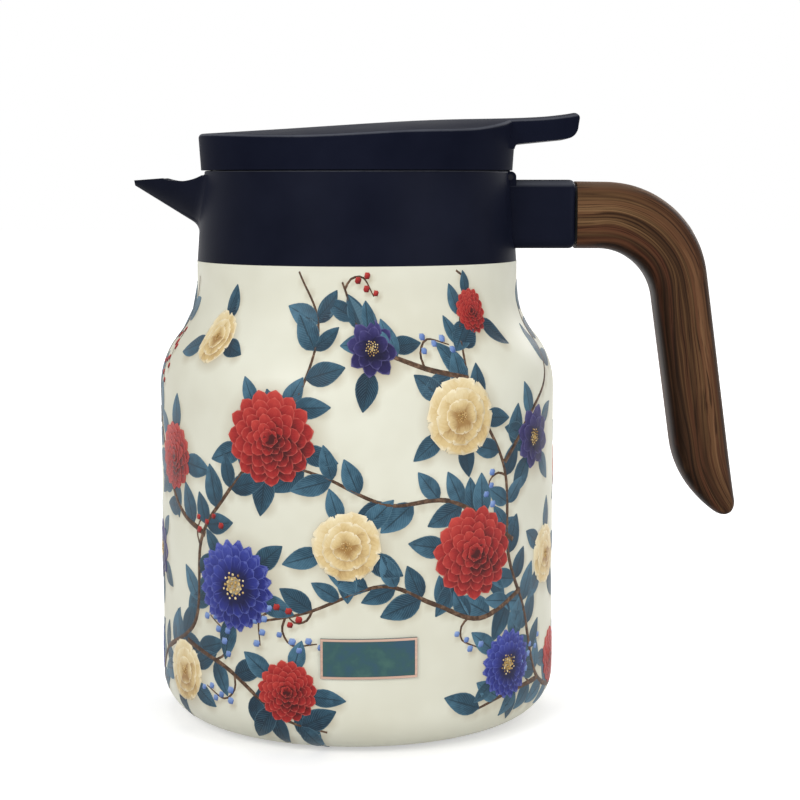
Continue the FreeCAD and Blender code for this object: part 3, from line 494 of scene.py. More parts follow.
def teal_plate():
    material, tree, shader = new_material("teal_plate", IOR=1.5, Specular_IOR_Level=0.25)
    field = place_group(tree, SURFACE_GRAIN, Grain_Scale=1600.0, Cloud_Scale=190.0)
    clouds = span(field["Cloud"], 0.32, 0.68)
    body = ramp(
        clouds,
        (0.0, (0.028, 0.078, 0.118, 1)), (0.5, (0.030, 0.086, 0.092, 1)), (1.0, (0.046, 0.118, 0.104, 1)),
    )
    wire(
        shader,
        Base_Color=body,
        Roughness=span(field["Grain"], 0.3, 0.7, 0.34, 0.46),
        Normal=bump(field["Grain"], 0.00003, 0.4),
    )
    return material


# Meshes


def add_object(name, data):
    thing = bpy.data.objects.new(name, data)
    bpy.context.scene.collection.objects.link(thing)
    return thing


def new_object(name, points, faces, material=None, crease=None):
    """A smooth mesh object. Faces that meet at more than the crease, in degrees, keep a crisp edge."""
    mesh = bpy.data.meshes.new(name)
    mesh.from_pydata([tuple(p) for p in points], [], faces)
    mesh.update()
    mesh.polygons.foreach_set("use_smooth", [True] * len(mesh.polygons))
    if crease:
        mesh.set_sharp_from_angle(angle=math.radians(crease))
    if material:
        mesh.materials.append(material)
    return add_object(name, mesh)


def keep_values(thing, **layers):
    """Stores a number or a vector for each vertex of an object under each name."""
    for name, values in layers.items():
        values = np.asarray(values, np.float32)
        kind, key = ("FLOAT", "value") if values.ndim == 1 else ("FLOAT_VECTOR", "vector")
        thing.data.attributes.new(name, kind, "POINT").data.foreach_set(key, values.ravel())


def plain_mesh(thing):
    """Turns an object's evaluated shape into a plain mesh object of the same name, with no modifiers."""
    bpy.context.view_layer.update()
    graph = bpy.context.evaluated_depsgraph_get()
    mesh = bpy.data.meshes.new_from_object(thing.evaluated_get(graph))
    name = thing.name
    bpy.data.objects.remove(thing)
    mesh.name = name
    return add_object(name, mesh)


def strip_faces(rings, around, closed=True):
    """Faces between neighbouring rings of points, and from the last to the first of a closed strip."""
    faces = []
    for k in range(rings if closed else rings - 1):
        here, there = k * around, (k + 1) % rings * around
        for i in range(around):
            j = (i + 1) % around
            faces.append((here + i, there + i, there + j, here + j))
    return faces


def lengths_along(points):
    """How far along a line each of its points lies."""
    return np.concatenate([[0], np.cumsum(np.linalg.norm(np.diff(points, axis=0), axis=1))])


def arc(centre, radius, start, end, steps):
    """Points on an arc, angles in degrees, both ends included."""
    turns = np.radians(np.linspace(start, end, steps + 1))
    return [(centre[0] + radius * math.cos(t), centre[1] + radius * math.sin(t)) for t in turns]


# Shell


def shoulder_points(low_radius, low, high_radius, high, steps):
    """The S of the shoulder: two equal arcs that meet halfway."""
    inward, rise = low_radius - high_radius, high - low
    bend = (inward**2 + rise**2) / (4 * inward)
    lean = math.degrees(2 * math.atan2(inward, rise))
    lower = arc((low_radius - bend, low), bend, 0, lean, steps)
    upper = arc((high_radius + bend, high), bend, 180 + lean, 180, steps)
    return lower + upper[1:]


def body_profile():
    """Radius and height of the printed surface, from the foot's corner to the collar."""
    corner = arc((SHELL_RADIUS - BASE_ROUND, SHELL_LOW + BASE_ROUND), BASE_ROUND, -90, 0, 18)
    straight = [(SHELL_RADIUS, z) for z in np.linspace(SHELL_LOW + BASE_ROUND, SHOULDER_LOW, 84)]
    neck = [(NECK_RADIUS, z) for z in np.linspace(NECK_LOW, COLLAR_LOW, 8)]
    slope = shoulder_points(SHELL_RADIUS, SHOULDER_LOW, NECK_RADIUS, NECK_LOW, 18)
    return corner + straight[1:-1] + slope + neck[1:]


BODY_PROFILE = np.array(body_profile())


def wrap(points):
    """Bends flat design points (along the girth, height, rise; millimetres) round the body, in metres."""
    points = np.asarray(points, float)
    along, high, rise = points[:, 0], points[:, 1], points[:, 2]
    radii, heights = BODY_PROFILE[:, 0], BODY_PROFILE[:, 1]
    rising = heights + np.arange(len(heights)) * 1e-9  # no two heights alike
    lean = np.gradient(radii, rising)
    radius, slope = np.interp(high, heights, radii), np.interp(high, heights, lean)
    length = np.hypot(1.0, slope)
    out, up = radius + rise / length, high - rise * slope / length
    turn = along / SHELL_RADIUS
    return np.stack([out * np.sin(turn), -out * np.cos(turn), up], 1) * MM


def turned_shell(material, shadows):
    """The enamelled body as one closed turned wall. Each vertex keeps how much printed shadow lies on it."""
    wall = SHELL_WALL
    inside = [
        (SPIGOT_RADIUS, COLLAR_LOW), (SPIGOT_RADIUS, SPIGOT_TOP), (SPIGOT_RADIUS - wall, SPIGOT_TOP),
        (SPIGOT_RADIUS - wall, COLLAR_LOW - wall), (NECK_RADIUS - wall, COLLAR_LOW - wall),
        *reversed(shoulder_points(SHELL_RADIUS - wall, SHOULDER_LOW, NECK_RADIUS - wall, NECK_LOW, 8)),
        *arc((SHELL_RADIUS - BASE_ROUND, SHELL_LOW + BASE_ROUND), BASE_ROUND - wall, 0, -90, 6),
        (BASE_MOUTH, SHELL_LOW + wall), (BASE_MOUTH, SHELL_LOW),
    ]
    profile = [tuple(p) for p in BODY_PROFILE] + inside
    turns = [i * FULL_TURN / SHELL_SIDES for i in range(SHELL_SIDES)]
    points = [(r * math.sin(t) * MM, -r * math.cos(t) * MM, z * MM) for t in turns for r, z in profile]
    faces = strip_faces(SHELL_SIDES, len(profile))
    shell = new_object("enamelled_shell", points, faces, material, crease=35)
    around = [((t + math.pi) % FULL_TURN - math.pi) * SHELL_RADIUS for t in turns]
    spots = np.array([(s, z) for s in around for _, z in profile])
    keep_values(shell, printed_shadow=soft_shadow(spots, shadows))
    return shell


def short_way(gap):
    """A gap along the girth, taken the short way round."""
    return (gap + GIRTH / 2) % GIRTH - GIRTH / 2


def soft_shadow(spots, shadows):
    """Strength of painted shadow at design spots: a soft blot below and to the right of each motif."""
    strongest = np.zeros(len(spots))
    for along, high, radius, strength in shadows:
        right = short_way(spots[:, 0] - along - SHADOW_RIGHT)
        up = spots[:, 1] - high + SHADOW_DOWN
        away = np.hypot(right, up) / (radius * SHADOW_SPREAD)
        strongest = np.maximum(strongest, strength * np.clip(SHADOW_CORE - SHADOW_FADE * away, 0, 1))
    return np.clip(strongest, 0, 1)


# Printed design, laid out flat: millimetres along the girth from the middle of the front, and height

GOLDEN_ANGLE = math.pi * (3 - math.sqrt(5))
PAINT_LIGHT = (-0.55, 0.83)
LEAF_CEILING = COLLAR_LOW - 1.5
SHORTEST_LEAF = 5.0
LEAF_LENGTHS = (9.5, 13.5)
HIGHEST_LEAF_ROOT = 134.0
LOWEST_BERRY, HIGHEST_BERRY = 8.0, 137.0
BERRY_STALK = 1.5
STEM_STEP, STEM_RADII = 2.0, (0.95, 0.35)
TWIG_STEP, TWIG_RADII = 1.3, (0.42, 0.20)
LEAF_CHANCE = 0.62
BERRIES_ABOVE = 0.76
STAMENS = 30
PRINT_SEED = 11
SLAB_FOOT = -0.15
TWIG_FLATTEN = 0.22

# Place, radius and kind of each flower
FLOWERS = [
    (-25, 95, 14.2, "dahlia"),
    (38, 60, 14.0, "dahlia"),
    (-38, 50, 14.0, "daisy"),
    (33, 101, 11.4, "wild_rose"),
    (-2, 64, 10.0, "wild_rose"),
    (66, 92, 10.0, "clematis"),
    (-68, 86, 10.6, "dahlia"),
    (52, 24, 10.6, "daisy"),
    (-20, 20, 9.4, "dahlia"),
    (-62, 20, 9.6, "wild_rose"),
    (76, 54, 9.4, "wild_rose"),
    (6, 121, 8.4, "clematis"),
    (-52, 123, 7.4, "wild_rose"),
    (46, 131, 6.8, "dahlia"),
    (-86, 54, 9.6, "clematis"),
    (84, 20, 9.0, "dahlia"),
    (108, 78, 13.0, "dahlia"),
    (124, 42, 12.0, "daisy"),
    (144, 92, 10.4, "wild_rose"),
    (160, 60, 12.4, "dahlia"),
    (152, 22, 9.4, "clematis"),
    (-176, 94, 12.4, "daisy"),
    (-170, 40, 11.4, "wild_rose"),
    (-140, 70, 13.0, "dahlia"),
    (-128, 26, 10.0, "dahlia"),
    (-112, 96, 10.2, "wild_rose"),
    (120, 121, 7.4, "dahlia"),
    (-152, 124, 7.4, "clematis"),
    (-98, 20, 8.6, "daisy"),
]

STEMS = [
    ((-92, 6), (-80, 22), (-56, 36), (-52, 62), (-40, 78), (-18, 104), (-12, 126), (-20, 143)),
    ((-50, 64), (-66, 72), (-84, 96), (-90, 118), (-80, 140)),
    ((96, 8), (70, 16), (60, 40), (52, 58), (50, 84), (36, 112), (44, 138), (40, 143)),
    ((54, 62), (30, 76), (10, 76), (-8, 84), (-22, 88)),
    ((58, 46), (40, 40), (24, 46), (8, 52), (-14, 44), (-30, 40)),
    ((-60, 30), (-40, 24), (-22, 12), (-8, 8)),
    ((50, 86), (62, 98), (78, 112), (86, 134)),
    ((36, 112), (20, 116), (4, 124), (-4, 140)),
    ((70, 16), (52, 15), (38, 12)),
    ((96, 8), (112, 30), (116, 62), (132, 84), (138, 112), (128, 140)),
    ((116, 62), (140, 64), (162, 74), (180, 92), (190, 124)),
    ((112, 30), (140, 32), (164, 40), (184, 36)),
    ((-188, 30), (-166, 52), (-150, 66), (-132, 90), (-116, 112), (-124, 140)),
    ((-150, 66), (-126, 50), (-112, 30), (-92, 6)),
    ((-132, 90), (-150, 104), (-164, 118), (-160, 140)),
]

# Dark, middle, light and rim of each petal paint
PAINTS = {
    "red": ((0.050, 0.003, 0.004), (0.300, 0.016, 0.016), (0.520, 0.055, 0.042), (0.62, 0.135, 0.105)),
    "blue": ((0.004, 0.005, 0.045), (0.016, 0.022, 0.175), (0.050, 0.068, 0.340), (0.135, 0.165, 0.48)),
    "violet": ((0.005, 0.004, 0.022), (0.018, 0.014, 0.075), (0.052, 0.045, 0.165), (0.13, 0.12, 0.29)),
    "cream": ((0.330, 0.185, 0.060), (0.640, 0.480, 0.230), (0.800, 0.690, 0.440), (0.88, 0.80, 0.60)),
    "sky": ((0.050, 0.095, 0.270), (0.125, 0.210, 0.470), (0.260, 0.370, 0.640), (0.44, 0.54, 0.76)),
}


class Seeds:
    """Where copies of one painted motif go, and how each is turned, sized and toned."""

    def __init__(self):
        self.rows = []

    def add(self, along, high, turn, size, tone, depth=0.0):
        lit = math.cos(turn) * PAINT_LIGHT[0] + math.sin(turn) * PAINT_LIGHT[1]
        self.rows.append((along, high, turn, *size, tone, lit, depth))

    def as_object(self, name):
        table = np.array(self.rows)
        flat = np.zeros(len(table))
        thing = new_object(name, np.column_stack([table[:, :2], flat]), [])
        turns = np.column_stack([flat, flat, table[:, 2]])
        tone, lit, depth = table[:, 6:].T
        keep_values(thing, turn=turns, size=table[:, 3:6], tone=tone, lit=lit, depth=depth)
        return thing


def slab_template(name, half_width, length, crown, across, along):
    """A thin leaf-like slab, 1 long and 1 thick. Its outline and crown are functions of u, from -1 to 1
    across, and v, from 0 to 1 along. Its paint map is (across, along)."""
    points, maps = [], []
    for j in range(along + 1):
        v = j / along
        for i in range(across + 1):
            u = 2 * i / across - 1
            points.append((length(u, v), u * half_width(v), crown(u, v)))
            maps.append((i / across, v))
    row = across + 1
    faces = [
        (j * row + i + 1, (j + 1) * row + i + 1, (j + 1) * row + i, j * row + i)
        for j in range(along) for i in range(across)
    ]
    rim = list(range(row))
    rim += [j * row + across for j in range(1, along + 1)]
    rim += [along * row + i for i in range(across - 1, -1, -1)]
    rim += [j * row for j in range(along - 1, 0, -1)]
    first = len(points)
    for index in rim:
        x, y, _ = points[index]
        points.append((x, y, SLAB_FOOT))
        maps.append(maps[index])
    count = len(rim)
    for k in range(count):
        a, b = rim[k], rim[(k + 1) % count]
        faces.append((b, a, first + k, first + (k + 1) % count))
    faces.append(tuple(first + k for k in range(count - 1, -1, -1)))
    slab = new_object(name, points, faces, crease=50)
    layer = slab.data.uv_layers.new(name="paint")
    uv = np.array([maps[loop.vertex_index] for loop in slab.data.loops], np.float32)
    layer.data.foreach_set("uv", uv.ravel())
    return slab


def round_ended(v, root, swell, full, end, blunt):
    """Half width of a petal that swells up to a share of its length and then rounds off."""
    width = root + swell * math.sin(min(v / full, 1.0) * math.pi / 2)
    return width * math.sqrt(max(1 - max((v - full) / end, 0) ** 2, blunt))


def pointed_petal():
    def half_width(v):
        if v == 1:
            return 0.012
        return 0.10 + 0.26 * math.sin(math.pi * min(0.12 + 0.88 * v, 1.0)) ** 0.8 * (1 - 0.25 * v)

    def crown(u, v):
        return 0.74 + 0.26 * v - 0.20 * (1 - abs(u)) * v

    return slab_template("pointed_petal", half_width, lambda u, v: v, crown, 4, 6)


def strap_petal():
    return slab_template(
        "strap_petal",
        lambda v: round_ended(v, 0.07, 0.075, 0.75, 0.25, 0.02),
        lambda u, v: v - 0.05 * (1 - abs(u)) * v**6,
        lambda u, v: 0.80 + 0.20 * v - 0.15 * (1 - abs(u)) * v,
        4, 5,
    )


def broad_petal():
    return slab_template(
        "broad_petal",
        lambda v: round_ended(v, 0.16, 0.36, 0.68, 0.32, 0.03),
        lambda u, v: v - (0.10 * math.exp(-((u / 0.25) ** 2)) + 0.02 * math.cos(9 * u)) * v**5,
        lambda u, v: 0.70 + 0.30 * v - 0.20 * u * u * v,
        6, 6,
    )


def leaf_template():
    return slab_template(
        "leaf_template",
        lambda v: 0.012 + 0.25 * math.sin(math.pi * v**0.80) ** 0.9,
        lambda u, v: v,
        lambda u, v: 0.78 + 0.22 * abs(u),
        4, 8,
    )


def dot_template():
    """A small dome, for stamens and berries."""
    return slab_template(
        "dot_template",
        lambda v: max(math.sqrt(max(0.25 - (v - 0.5) ** 2, 0)), 0.03),
        lambda u, v: v - 0.5,
        lambda u, v: 1.0 - 0.5 * u * u - 2.0 * (v - 0.5) ** 2,
        4, 3,
    )


def new_geometry_tree(name, **inputs):
    """A geometry tree with inputs of the given kinds and a paint, and what it is given."""
    tree = bpy.data.node_groups.new(name, "GeometryNodeTree")
    for word, kind in {"Geometry": "Geometry", **inputs, "Paint": "Material"}.items():
        tree.interface.new_socket(word, in_out="INPUT", socket_type=f"NodeSocket{kind}")
    tree.interface.new_socket("Geometry", in_out="OUTPUT", socket_type="NodeSocketGeometry")
    return tree, tree.nodes.new("NodeGroupInput").outputs


def end_painted(tree, given, shape):
    """Ends a geometry tree with a shape in the paint that it is given."""
    painted = put(tree, "GeometryNodeSetMaterial", {"Geometry": shape, "Material": given["Paint"]})
    put(tree, "NodeGroupOutput", {0: painted.outputs[0]})
    return tree


def scatter_tree():
    """Copies a template onto points that carry its turn and size, as plain geometry of one material."""
    tree, given = new_geometry_tree("scatter_motif", Template="Object")
    turn, size = (
        put(tree, "GeometryNodeInputNamedAttribute", {"Name": word}, data_type="FLOAT_VECTOR").outputs[0]
        for word in ("turn", "size")
    )
    motif = put(tree, "GeometryNodeObjectInfo", {"Object": given["Template"]})
    copies = put(
        tree, "GeometryNodeInstanceOnPoints",
        {
            "Points": given["Geometry"], "Instance": motif.outputs["Geometry"], "Scale": size,
            "Rotation": put(tree, "FunctionNodeEulerToRotation", {0: turn}).outputs[0],
        },
    )
    real = put(tree, "GeometryNodeRealizeInstances", {0: copies.outputs[0]})
    return end_painted(tree, given, real.outputs[0])


def stem_tree():
    """Sweeps a round twig along curves whose points carry its radius."""
    tree, given = new_geometry_tree("sweep_twigs", Sides="Int")
    ring = put(tree, "GeometryNodeCurvePrimitiveCircle", {"Resolution": given["Sides"], "Radius": 1.0})
    sweep = put(
        tree, "GeometryNodeCurveToMesh",
        {
            "Curve": given["Geometry"], "Profile Curve": ring.outputs[0], "Fill Caps": True,
            "Scale": put(tree, "GeometryNodeInputRadius").outputs[0],
        },
    )
    smooth = put(tree, "GeometryNodeSetShadeSmooth", {0: sweep.outputs[0]})
    return end_painted(tree, given, smooth.outputs[0])


def grow(thing, tree, **inputs):
    """Runs a geometry tree on an object with named inputs and keeps the plain result."""
    modifier = thing.modifiers.new("grow", "NODES")
    modifier.node_group = tree
    for item in tree.interface.items_tree:
        if item.in_out == "INPUT" and item.name in inputs:
            modifier[item.identifier] = inputs[item.name]
    return plain_mesh(thing)


def bend_round_body(thing, flatten=1.0):
    """Moves a flat design mesh onto the body."""
    count = len(thing.data.vertices)
    points = np.empty(count * 3)
    thing.data.vertices.foreach_get("co", points)
    points = points.reshape(-1, 3)
    points[:, 2] *= flatten
    thing.data.vertices.foreach_set("co", wrap(points).ravel())
    thing.data.update()
    return thing


def smooth_path(corners, step):
    """Points on a Catmull-Rom curve through the corners, and the direction at each."""
    corners = [np.array(c, float) for c in corners]
    corners = [2 * corners[0] - corners[1], *corners, 2 * corners[-1] - corners[-2]]
    points = []
    for a, b, c, e in zip(corners, corners[1:], corners[2:], corners[3:]):
        parts = max(int(np.linalg.norm(c - b) / step), 2)
        square = 2 * a - 5 * b + 4 * c - e
        cube = 3 * b - a - 3 * c + e
        for k in range(parts):
            t = k / parts
            points.append(0.5 * (2 * b + (c - a) * t + square * t**2 + cube * t**3))
    points.append(corners[-2])
    points = np.array(points)
    slope = np.gradient(points, axis=0)
    return points, np.arctan2(slope[:, 1], slope[:, 0])


def beside(along, high, reach, turn):
    """The spot at a reach and a turn from a place in the flat design."""
    return along + reach * math.cos(turn), high + reach * math.sin(turn)


def lay_ring(seeds, rng, centre, ring):
    """One ring of petals: their number, the reach of root and tip, breadth, rise, depth and first turn."""
    count, root, tip, breadth, rise, depth, start = ring
    for i in range(count):
        turn = start + (i + rng.uniform(-0.07, 0.07)) * FULL_TURN / count
        length = (tip - root) * rng.uniform(0.95, 1.05)
        size = (length, breadth * rng.uniform(0.94, 1.06), rise + 0.012 * (i % 3))
        seeds.add(*beside(*centre, root, turn), turn, size, rng.random(), depth)


def lay_stamens(dots, rng, centre, reach, count):
    for i in range(count):
        away, turn = reach * math.sqrt((i + 0.5) / count), i * GOLDEN_ANGLE
        size = reach * rng.uniform(0.22, 0.30)
        rise = 0.60 - 0.14 * away / reach
        dots.add(*beside(*centre, away, turn), turn, (size, size, rise), rng.random())


def clear_of_flowers(along, high, room):
    """Whether a spot lies off every flower, each widened by a factor."""
    return all(
        math.hypot(short_way(along - x), high - z) >= radius * room for x, z, radius, _ in FLOWERS
    )


def flower_rings(kind, radius, start):
    """The rings of one flower from the outside in, and the reach of its heart."""
    if kind == "dahlia":
        rings = []
        for k in range(6):
            t = k / 5
            tip, length = radius * (1 - 0.80 * t), radius * (0.46 - 0.22 * t)
            count = 15 - 2 * k + k // 4
            rings.append((count, tip - length, tip, length * 1.45, 0.27 + 0.05 * k, t, start + 0.21 * k))
        return rings, 0.0
    if kind == "daisy":
        return [
            (20, 0.26 * radius, radius, 0.98 * radius, 0.27, 0.0, start),
            (19, 0.24 * radius, 0.90 * radius, 0.94 * radius, 0.33, 0.25, start + 0.15),
            (16, 0.20 * radius, 0.68 * radius, 0.90 * radius, 0.39, 0.5, start + 0.05),
        ], 0.30 * radius
    if kind == "clematis":
        return [
            (8, 0.10 * radius, radius, 0.98 * radius, 0.27, 0.0, start),
            (7, 0.08 * radius, 0.72 * radius, 0.80 * radius, 0.35, 0.35, start + 0.4),
        ], 0.26 * radius
    return [
        (6, 0.10 * radius, radius, 1.12 * radius, 0.27, 0.0, start),
        (5, 0.06 * radius, 0.72 * radius, 0.90 * radius, 0.35, 0.35, start + 0.5),
        (4, 0.02 * radius, 0.44 * radius, 0.58 * radius, 0.42, 0.7, start + 0.2),
    ], 0.17 * radius


PETALS = {
    "dahlia": ("pointed", "red"),
    "clematis": ("pointed", "violet"),
    "daisy": ("strap", "blue"),
    "wild_rose": ("broad", "cream"),
}


class PrintedDesign:
    """The whole flower print, composed flat."""

    def __init__(self):
        self.rng = random.Random(PRINT_SEED)
        self.motifs = {}
        self.twigs = []
        self.shadows = []
        self.lay_stems()
        self.lay_flowers()

    def seeds(self, shape, colour):
        return self.motifs.setdefault((shape, colour), Seeds())

    def leaf(self, along, high, turn, length):
        """A leaf, cut short below the collar, and its shadow."""
        rise = max(math.sin(turn), 0.01)
        length = min(length, (LEAF_CEILING - high) / rise)
        if length < SHORTEST_LEAF:
            return
        broad = length * self.rng.uniform(0.92, 1.12)
        size = (length, broad, 0.07 + 0.06 * self.rng.random())
        self.seeds("leaf", "teal").add(along, high, turn, size, self.rng.random())
        for part in (0.35, 0.65):
            spot = beside(along, high, part * length, turn)
            self.shadows.append((*spot, length * 0.26, 0.55))

    def twig(self, points, thick, thin):
        self.twigs.append((points, thick, thin))
        for along, high in points[::2]:
            self.shadows.append((along, high, thick * 2.0, 0.40))

    def lay_stems(self):
        """Vines with leaves in loose pairs, and now and then a twig with berries."""
        rng = self.rng
        for corners in STEMS:
            points, turns = smooth_path(corners, STEM_STEP)
            self.twig(points, *STEM_RADII)
            for k in range(3, len(points) - 1, 4):
                along, high = points[k]
                for side in (-1, 1):
                    turn = turns[k] + side * rng.uniform(0.55, 1.0)
                    chance = rng.random()
                    if chance < LEAF_CHANCE and high < HIGHEST_LEAF_ROOT:
                        self.leaf(along, high, turn, rng.uniform(*LEAF_LENGTHS))
                    elif chance > BERRIES_ABOVE and clear_of_flowers(along, high, 1.15):
                        self.side_twig(along, high, turn)

    def side_twig(self, along, high, turn):
        """A short curling twig with berries."""
        rng = self.rng
        reach, bend = rng.uniform(9.0, 14.0), rng.choice((-1.3, 1.3))
        shares = (0.0, 0.35, 0.7, 1.0)
        corners = [beside(along, high, reach * f, turn + bend * f * f) for f in shares]
        end_high = corners[-1][1]
        if not LOWEST_BERRY < end_high < HIGHEST_BERRY or not clear_of_flowers(*corners[-1], 1.0):
            return
        points, turns = smooth_path(corners, TWIG_STEP)
        self.twig(points, *TWIG_RADII)
        colour = rng.choice(("red", "sky", "sky"))
        for k in range(3, len(points), 2):
            side = 1 if k % 4 == 1 else -1
            lean = turns[k] + side * 0.9
            size = rng.uniform(1.9, 2.5)
            spot = beside(*points[k], BERRY_STALK, lean)
            self.seeds("berry", colour).add(*spot, math.radians(124), (size, size, 0.34), rng.random())
            self.shadows.append((*spot, size * 0.6, 0.6))

    def lay_flowers(self):
        rng = self.rng
        for along, high, radius, kind in FLOWERS:
            start = rng.uniform(0, FULL_TURN)
            leaves = 5 if radius > 9 else 3
            for i in range(leaves):
                turn = start + (i + rng.uniform(-0.2, 0.2)) * FULL_TURN / leaves
                spot = beside(along, high, radius * 0.70, turn)
                self.leaf(*spot, turn, rng.uniform(*LEAF_LENGTHS))
            rings, heart = flower_rings(kind, radius, start)
            for ring in rings:
                lay_ring(self.seeds(*PETALS[kind]), rng, (along, high), ring)
            if heart:
                lay_stamens(self.seeds("stamen", "pollen"), rng, (along, high), heart, STAMENS)
            self.shadows.append((along, high, radius, 1.0))


def twig_curves(twigs):
    data = bpy.data.curves.new("printed_twigs", "CURVE")
    data.dimensions = "3D"
    for points, thick, thin in twigs:
        line = data.splines.new("POLY")
        line.points.add(len(points) - 1)
        for k, (along, high) in enumerate(points):
            line.points[k].co = (along, high, 0.0, 1.0)
            line.points[k].radius = thick + (thin - thick) * k / (len(points) - 1)
    return add_object("printed_twigs", data)


def print_pieces(design):
    """The print as thin painted pieces on the enamel, one for each motif and paint."""
    scatter = scatter_tree()
    dot = dot_template()
    templates = {
        "pointed": pointed_petal(), "strap": strap_petal(), "broad": broad_petal(), "leaf": leaf_template(),
        "stamen": dot, "berry": dot,
    }
    paints = {
        colour: petal_paint(f"{colour}_paint", *(shade(tone) for tone in tones))
        for colour, tones in PAINTS.items()
    }
    paints |= {"teal": leaf_paint(), "pollen": pollen_paint()}
    pieces = []
    for (shape, colour), seeds in design.motifs.items():
        thing = seeds.as_object(f"printed_{colour}_{shape}")
        pieces.append(bend_round_body(grow(thing, scatter, Template=templates[shape], Paint=paints[colour])))
    twigs = grow(twig_curves(design.twigs), stem_tree(), Sides=8, Paint=bark_paint())
    pieces.append(bend_round_body(twigs, flatten=TWIG_FLATTEN))
    for template in set(templates.values()):
        bpy.data.objects.remove(template)
    return pieces


# Grip


def round_corner(before, corner, after, radius, steps):
    """Points of the arc that rounds a corner, in order."""
    before, corner, after = (np.array(p, float) for p in (before, corner, after))
    come = (corner - before) / np.linalg.norm(corner - before)
    leave = (after - corner) / np.linalg.norm(after - corner)
    cross = come[0] * leave[1] - come[1] * leave[0]
    reach = radius * abs(cross) / (1 + come @ leave)
    side = 1 if cross > 0 else -1
    centre = corner - come * reach + side * radius * np.array([-come[1], come[0]])
    start = corner - come * reach - centre
    turn = side * math.acos(np.clip(come @ leave, -1, 1))
    across = np.array([-start[1], start[0]])
    angles = np.linspace(0, turn, steps + 1)
    return [centre + (start * math.cos(a) + across * math.sin(a)) for a in angles]


def even(points, count):
    """The same line with count evenly spaced points."""
    points = np.array(points)
    length = lengths_along(points)
    places = np.linspace(0, length[-1], count)
    return np.column_stack([np.interp(places, length, points[:, k]) for k in (0, 1)])


def grip_sides():
    """Matching points down the inner and the outer side of the grip, from the bracket to the toe."""
    root_low, root_top = (GRIP_START, GRIP_LOW), (GRIP_START, GRIP_TOP)
    elbow = round_corner(root_low, ELBOW, HEEL, ELBOW_BEND, BEND_STEPS)
    heel = round_corner(ELBOW, HEEL, TOE, HEEL_BEND, BEND_STEPS)
    toe = round_corner(HEEL, TOE, CROOK, TOE_BEND, BEND_STEPS)
    crook = round_corner(root_top, CROOK, TOE, CROOK_BEND, BEND_STEPS)
    leg_end = crook[-1] + (toe[-1] - crook[-1]) * LEG_STRAIGHT
    tip = BEND_STEPS // 2
    inner = [[root_low, elbow[0]], elbow, [elbow[-1], heel[0]], heel + toe[:tip + 1]]
    outer = [[root_top, crook[0]], crook, [crook[-1], leg_end], [leg_end] + toe[:tip - 1:-1]]
    sides = []
    for stretches in (inner, outer):
        line = [even(stretch, parts + 1) for stretch, parts in zip(stretches, STRETCH_PARTS)]
        sides.append(np.concatenate([line[0]] + [part[1:] for part in line[1:]]))
    return sides


def swept_grip(material):
    """The grip as a closed sweep of soft rectangles, keeping its straightened place for the grain and its
    sides for painted shade.
    """
    inner, outer = grip_sides()
    middle = (inner + outer) / 2
    thick = np.linalg.norm(outer - inner, axis=1) / 2
    travel = lengths_along(middle)
    full = thick[len(thick) // 2]
    around = 56
    power = 3.4
    points, grain, sides, edges = [], [], [], []
    rows = len(middle) - 1
    for k in range(rows):
        aim = (outer[k] - inner[k]) / (2 * thick[k])
        close = min(thick[k] / (TOE_FULL * full), 1.0)
        half = GRIP_HALF * (TOE_LEAST + (1 - TOE_LEAST) * math.sqrt(1 - (1 - close) ** 2))
        for i in range(around):
            angle = i * FULL_TURN / around
            c, s = math.cos(angle), math.sin(angle)
            share = math.copysign(abs(c) ** (2 / power), c)
            sideways = math.copysign(abs(s) ** (2 / power), s)
            across, aside = share * thick[k], sideways * half
            x, z = middle[k] + aim * across
            points.append((x * MM, aside * MM, z * MM))
            grain.append((travel[k] * MM, across * MM, aside * MM))
            # Share from the inner to the outer side, and a weight that is 1 at the four rounded corners,
            # both for painted shade
            sides.append(share)
            edges.append(min(5 * share**6 * abs(sideways) ** 3, 1.0))
    faces = strip_faces(rows, around, closed=False)
    faces.append(tuple(range(around)))
    faces.append(tuple((rows - 1) * around + i for i in range(around - 1, -1, -1)))
    grip = new_object("walnut_grip", points, faces, material, crease=60)
    keep_values(grip, grain_space=grain, grain_side=sides, grain_edge=edges)
    return grip


# Label border


def label_border(material):
    """A narrow raised frame round the plate."""
    middle = LABEL_TURN * SHELL_RADIUS
    low, high = LABEL_RISE - BORDER_SINK, LABEL_RISE + BORDER_RISE
    steps = 24
    half_w, half_t = LABEL_WIDE / 2 - BORDER_INSET, LABEL_TALL / 2 - BORDER_INSET
    loop = []
    for (x0, z0), (x1, z1) in zip(SQUARE, SQUARE[1:] + SQUARE[:1]):
        for k in range(steps):
            t = k / steps
            loop.append((x0 + (x1 - x0) * t, z0 + (z1 - z0) * t))
    flat = []
    for x, z in loop:
        out = (middle + x * half_w, LABEL_MIDDLE + z * half_t)
        into = (middle + x * (half_w - BORDER_WIDTH), LABEL_MIDDLE + z * (half_t - BORDER_WIDTH))
        flat += [(*out, low), (*out, high), (*into, high), (*into, low)]
    return new_object("copper_border", wrap(flat), strip_faces(len(loop), 4), material, crease=30)


# Scene

# Softboxes: place and width in metres, and watts
SOFTBOXES = {
    "key_softbox": ((-0.62, -1.02, 0.75), 0.75, 8.8),
    "fill_softbox": ((0.90, -0.85, 0.40), 0.80, 4.9),
    "top_softbox": ((0.05, 0.25, 1.10), 0.90, 5.0),
    "rim_softbox": ((0.75, 0.85, 0.60), 0.60, 4.0),
}
SOFTBOX_AIM = (0.0, 0.0, 0.095)
FLOOR_HALF = 6.0
CAMERA_PLACE = (0.0136, -0.600, 0.1688)
CAMERA_TILT = 6.58


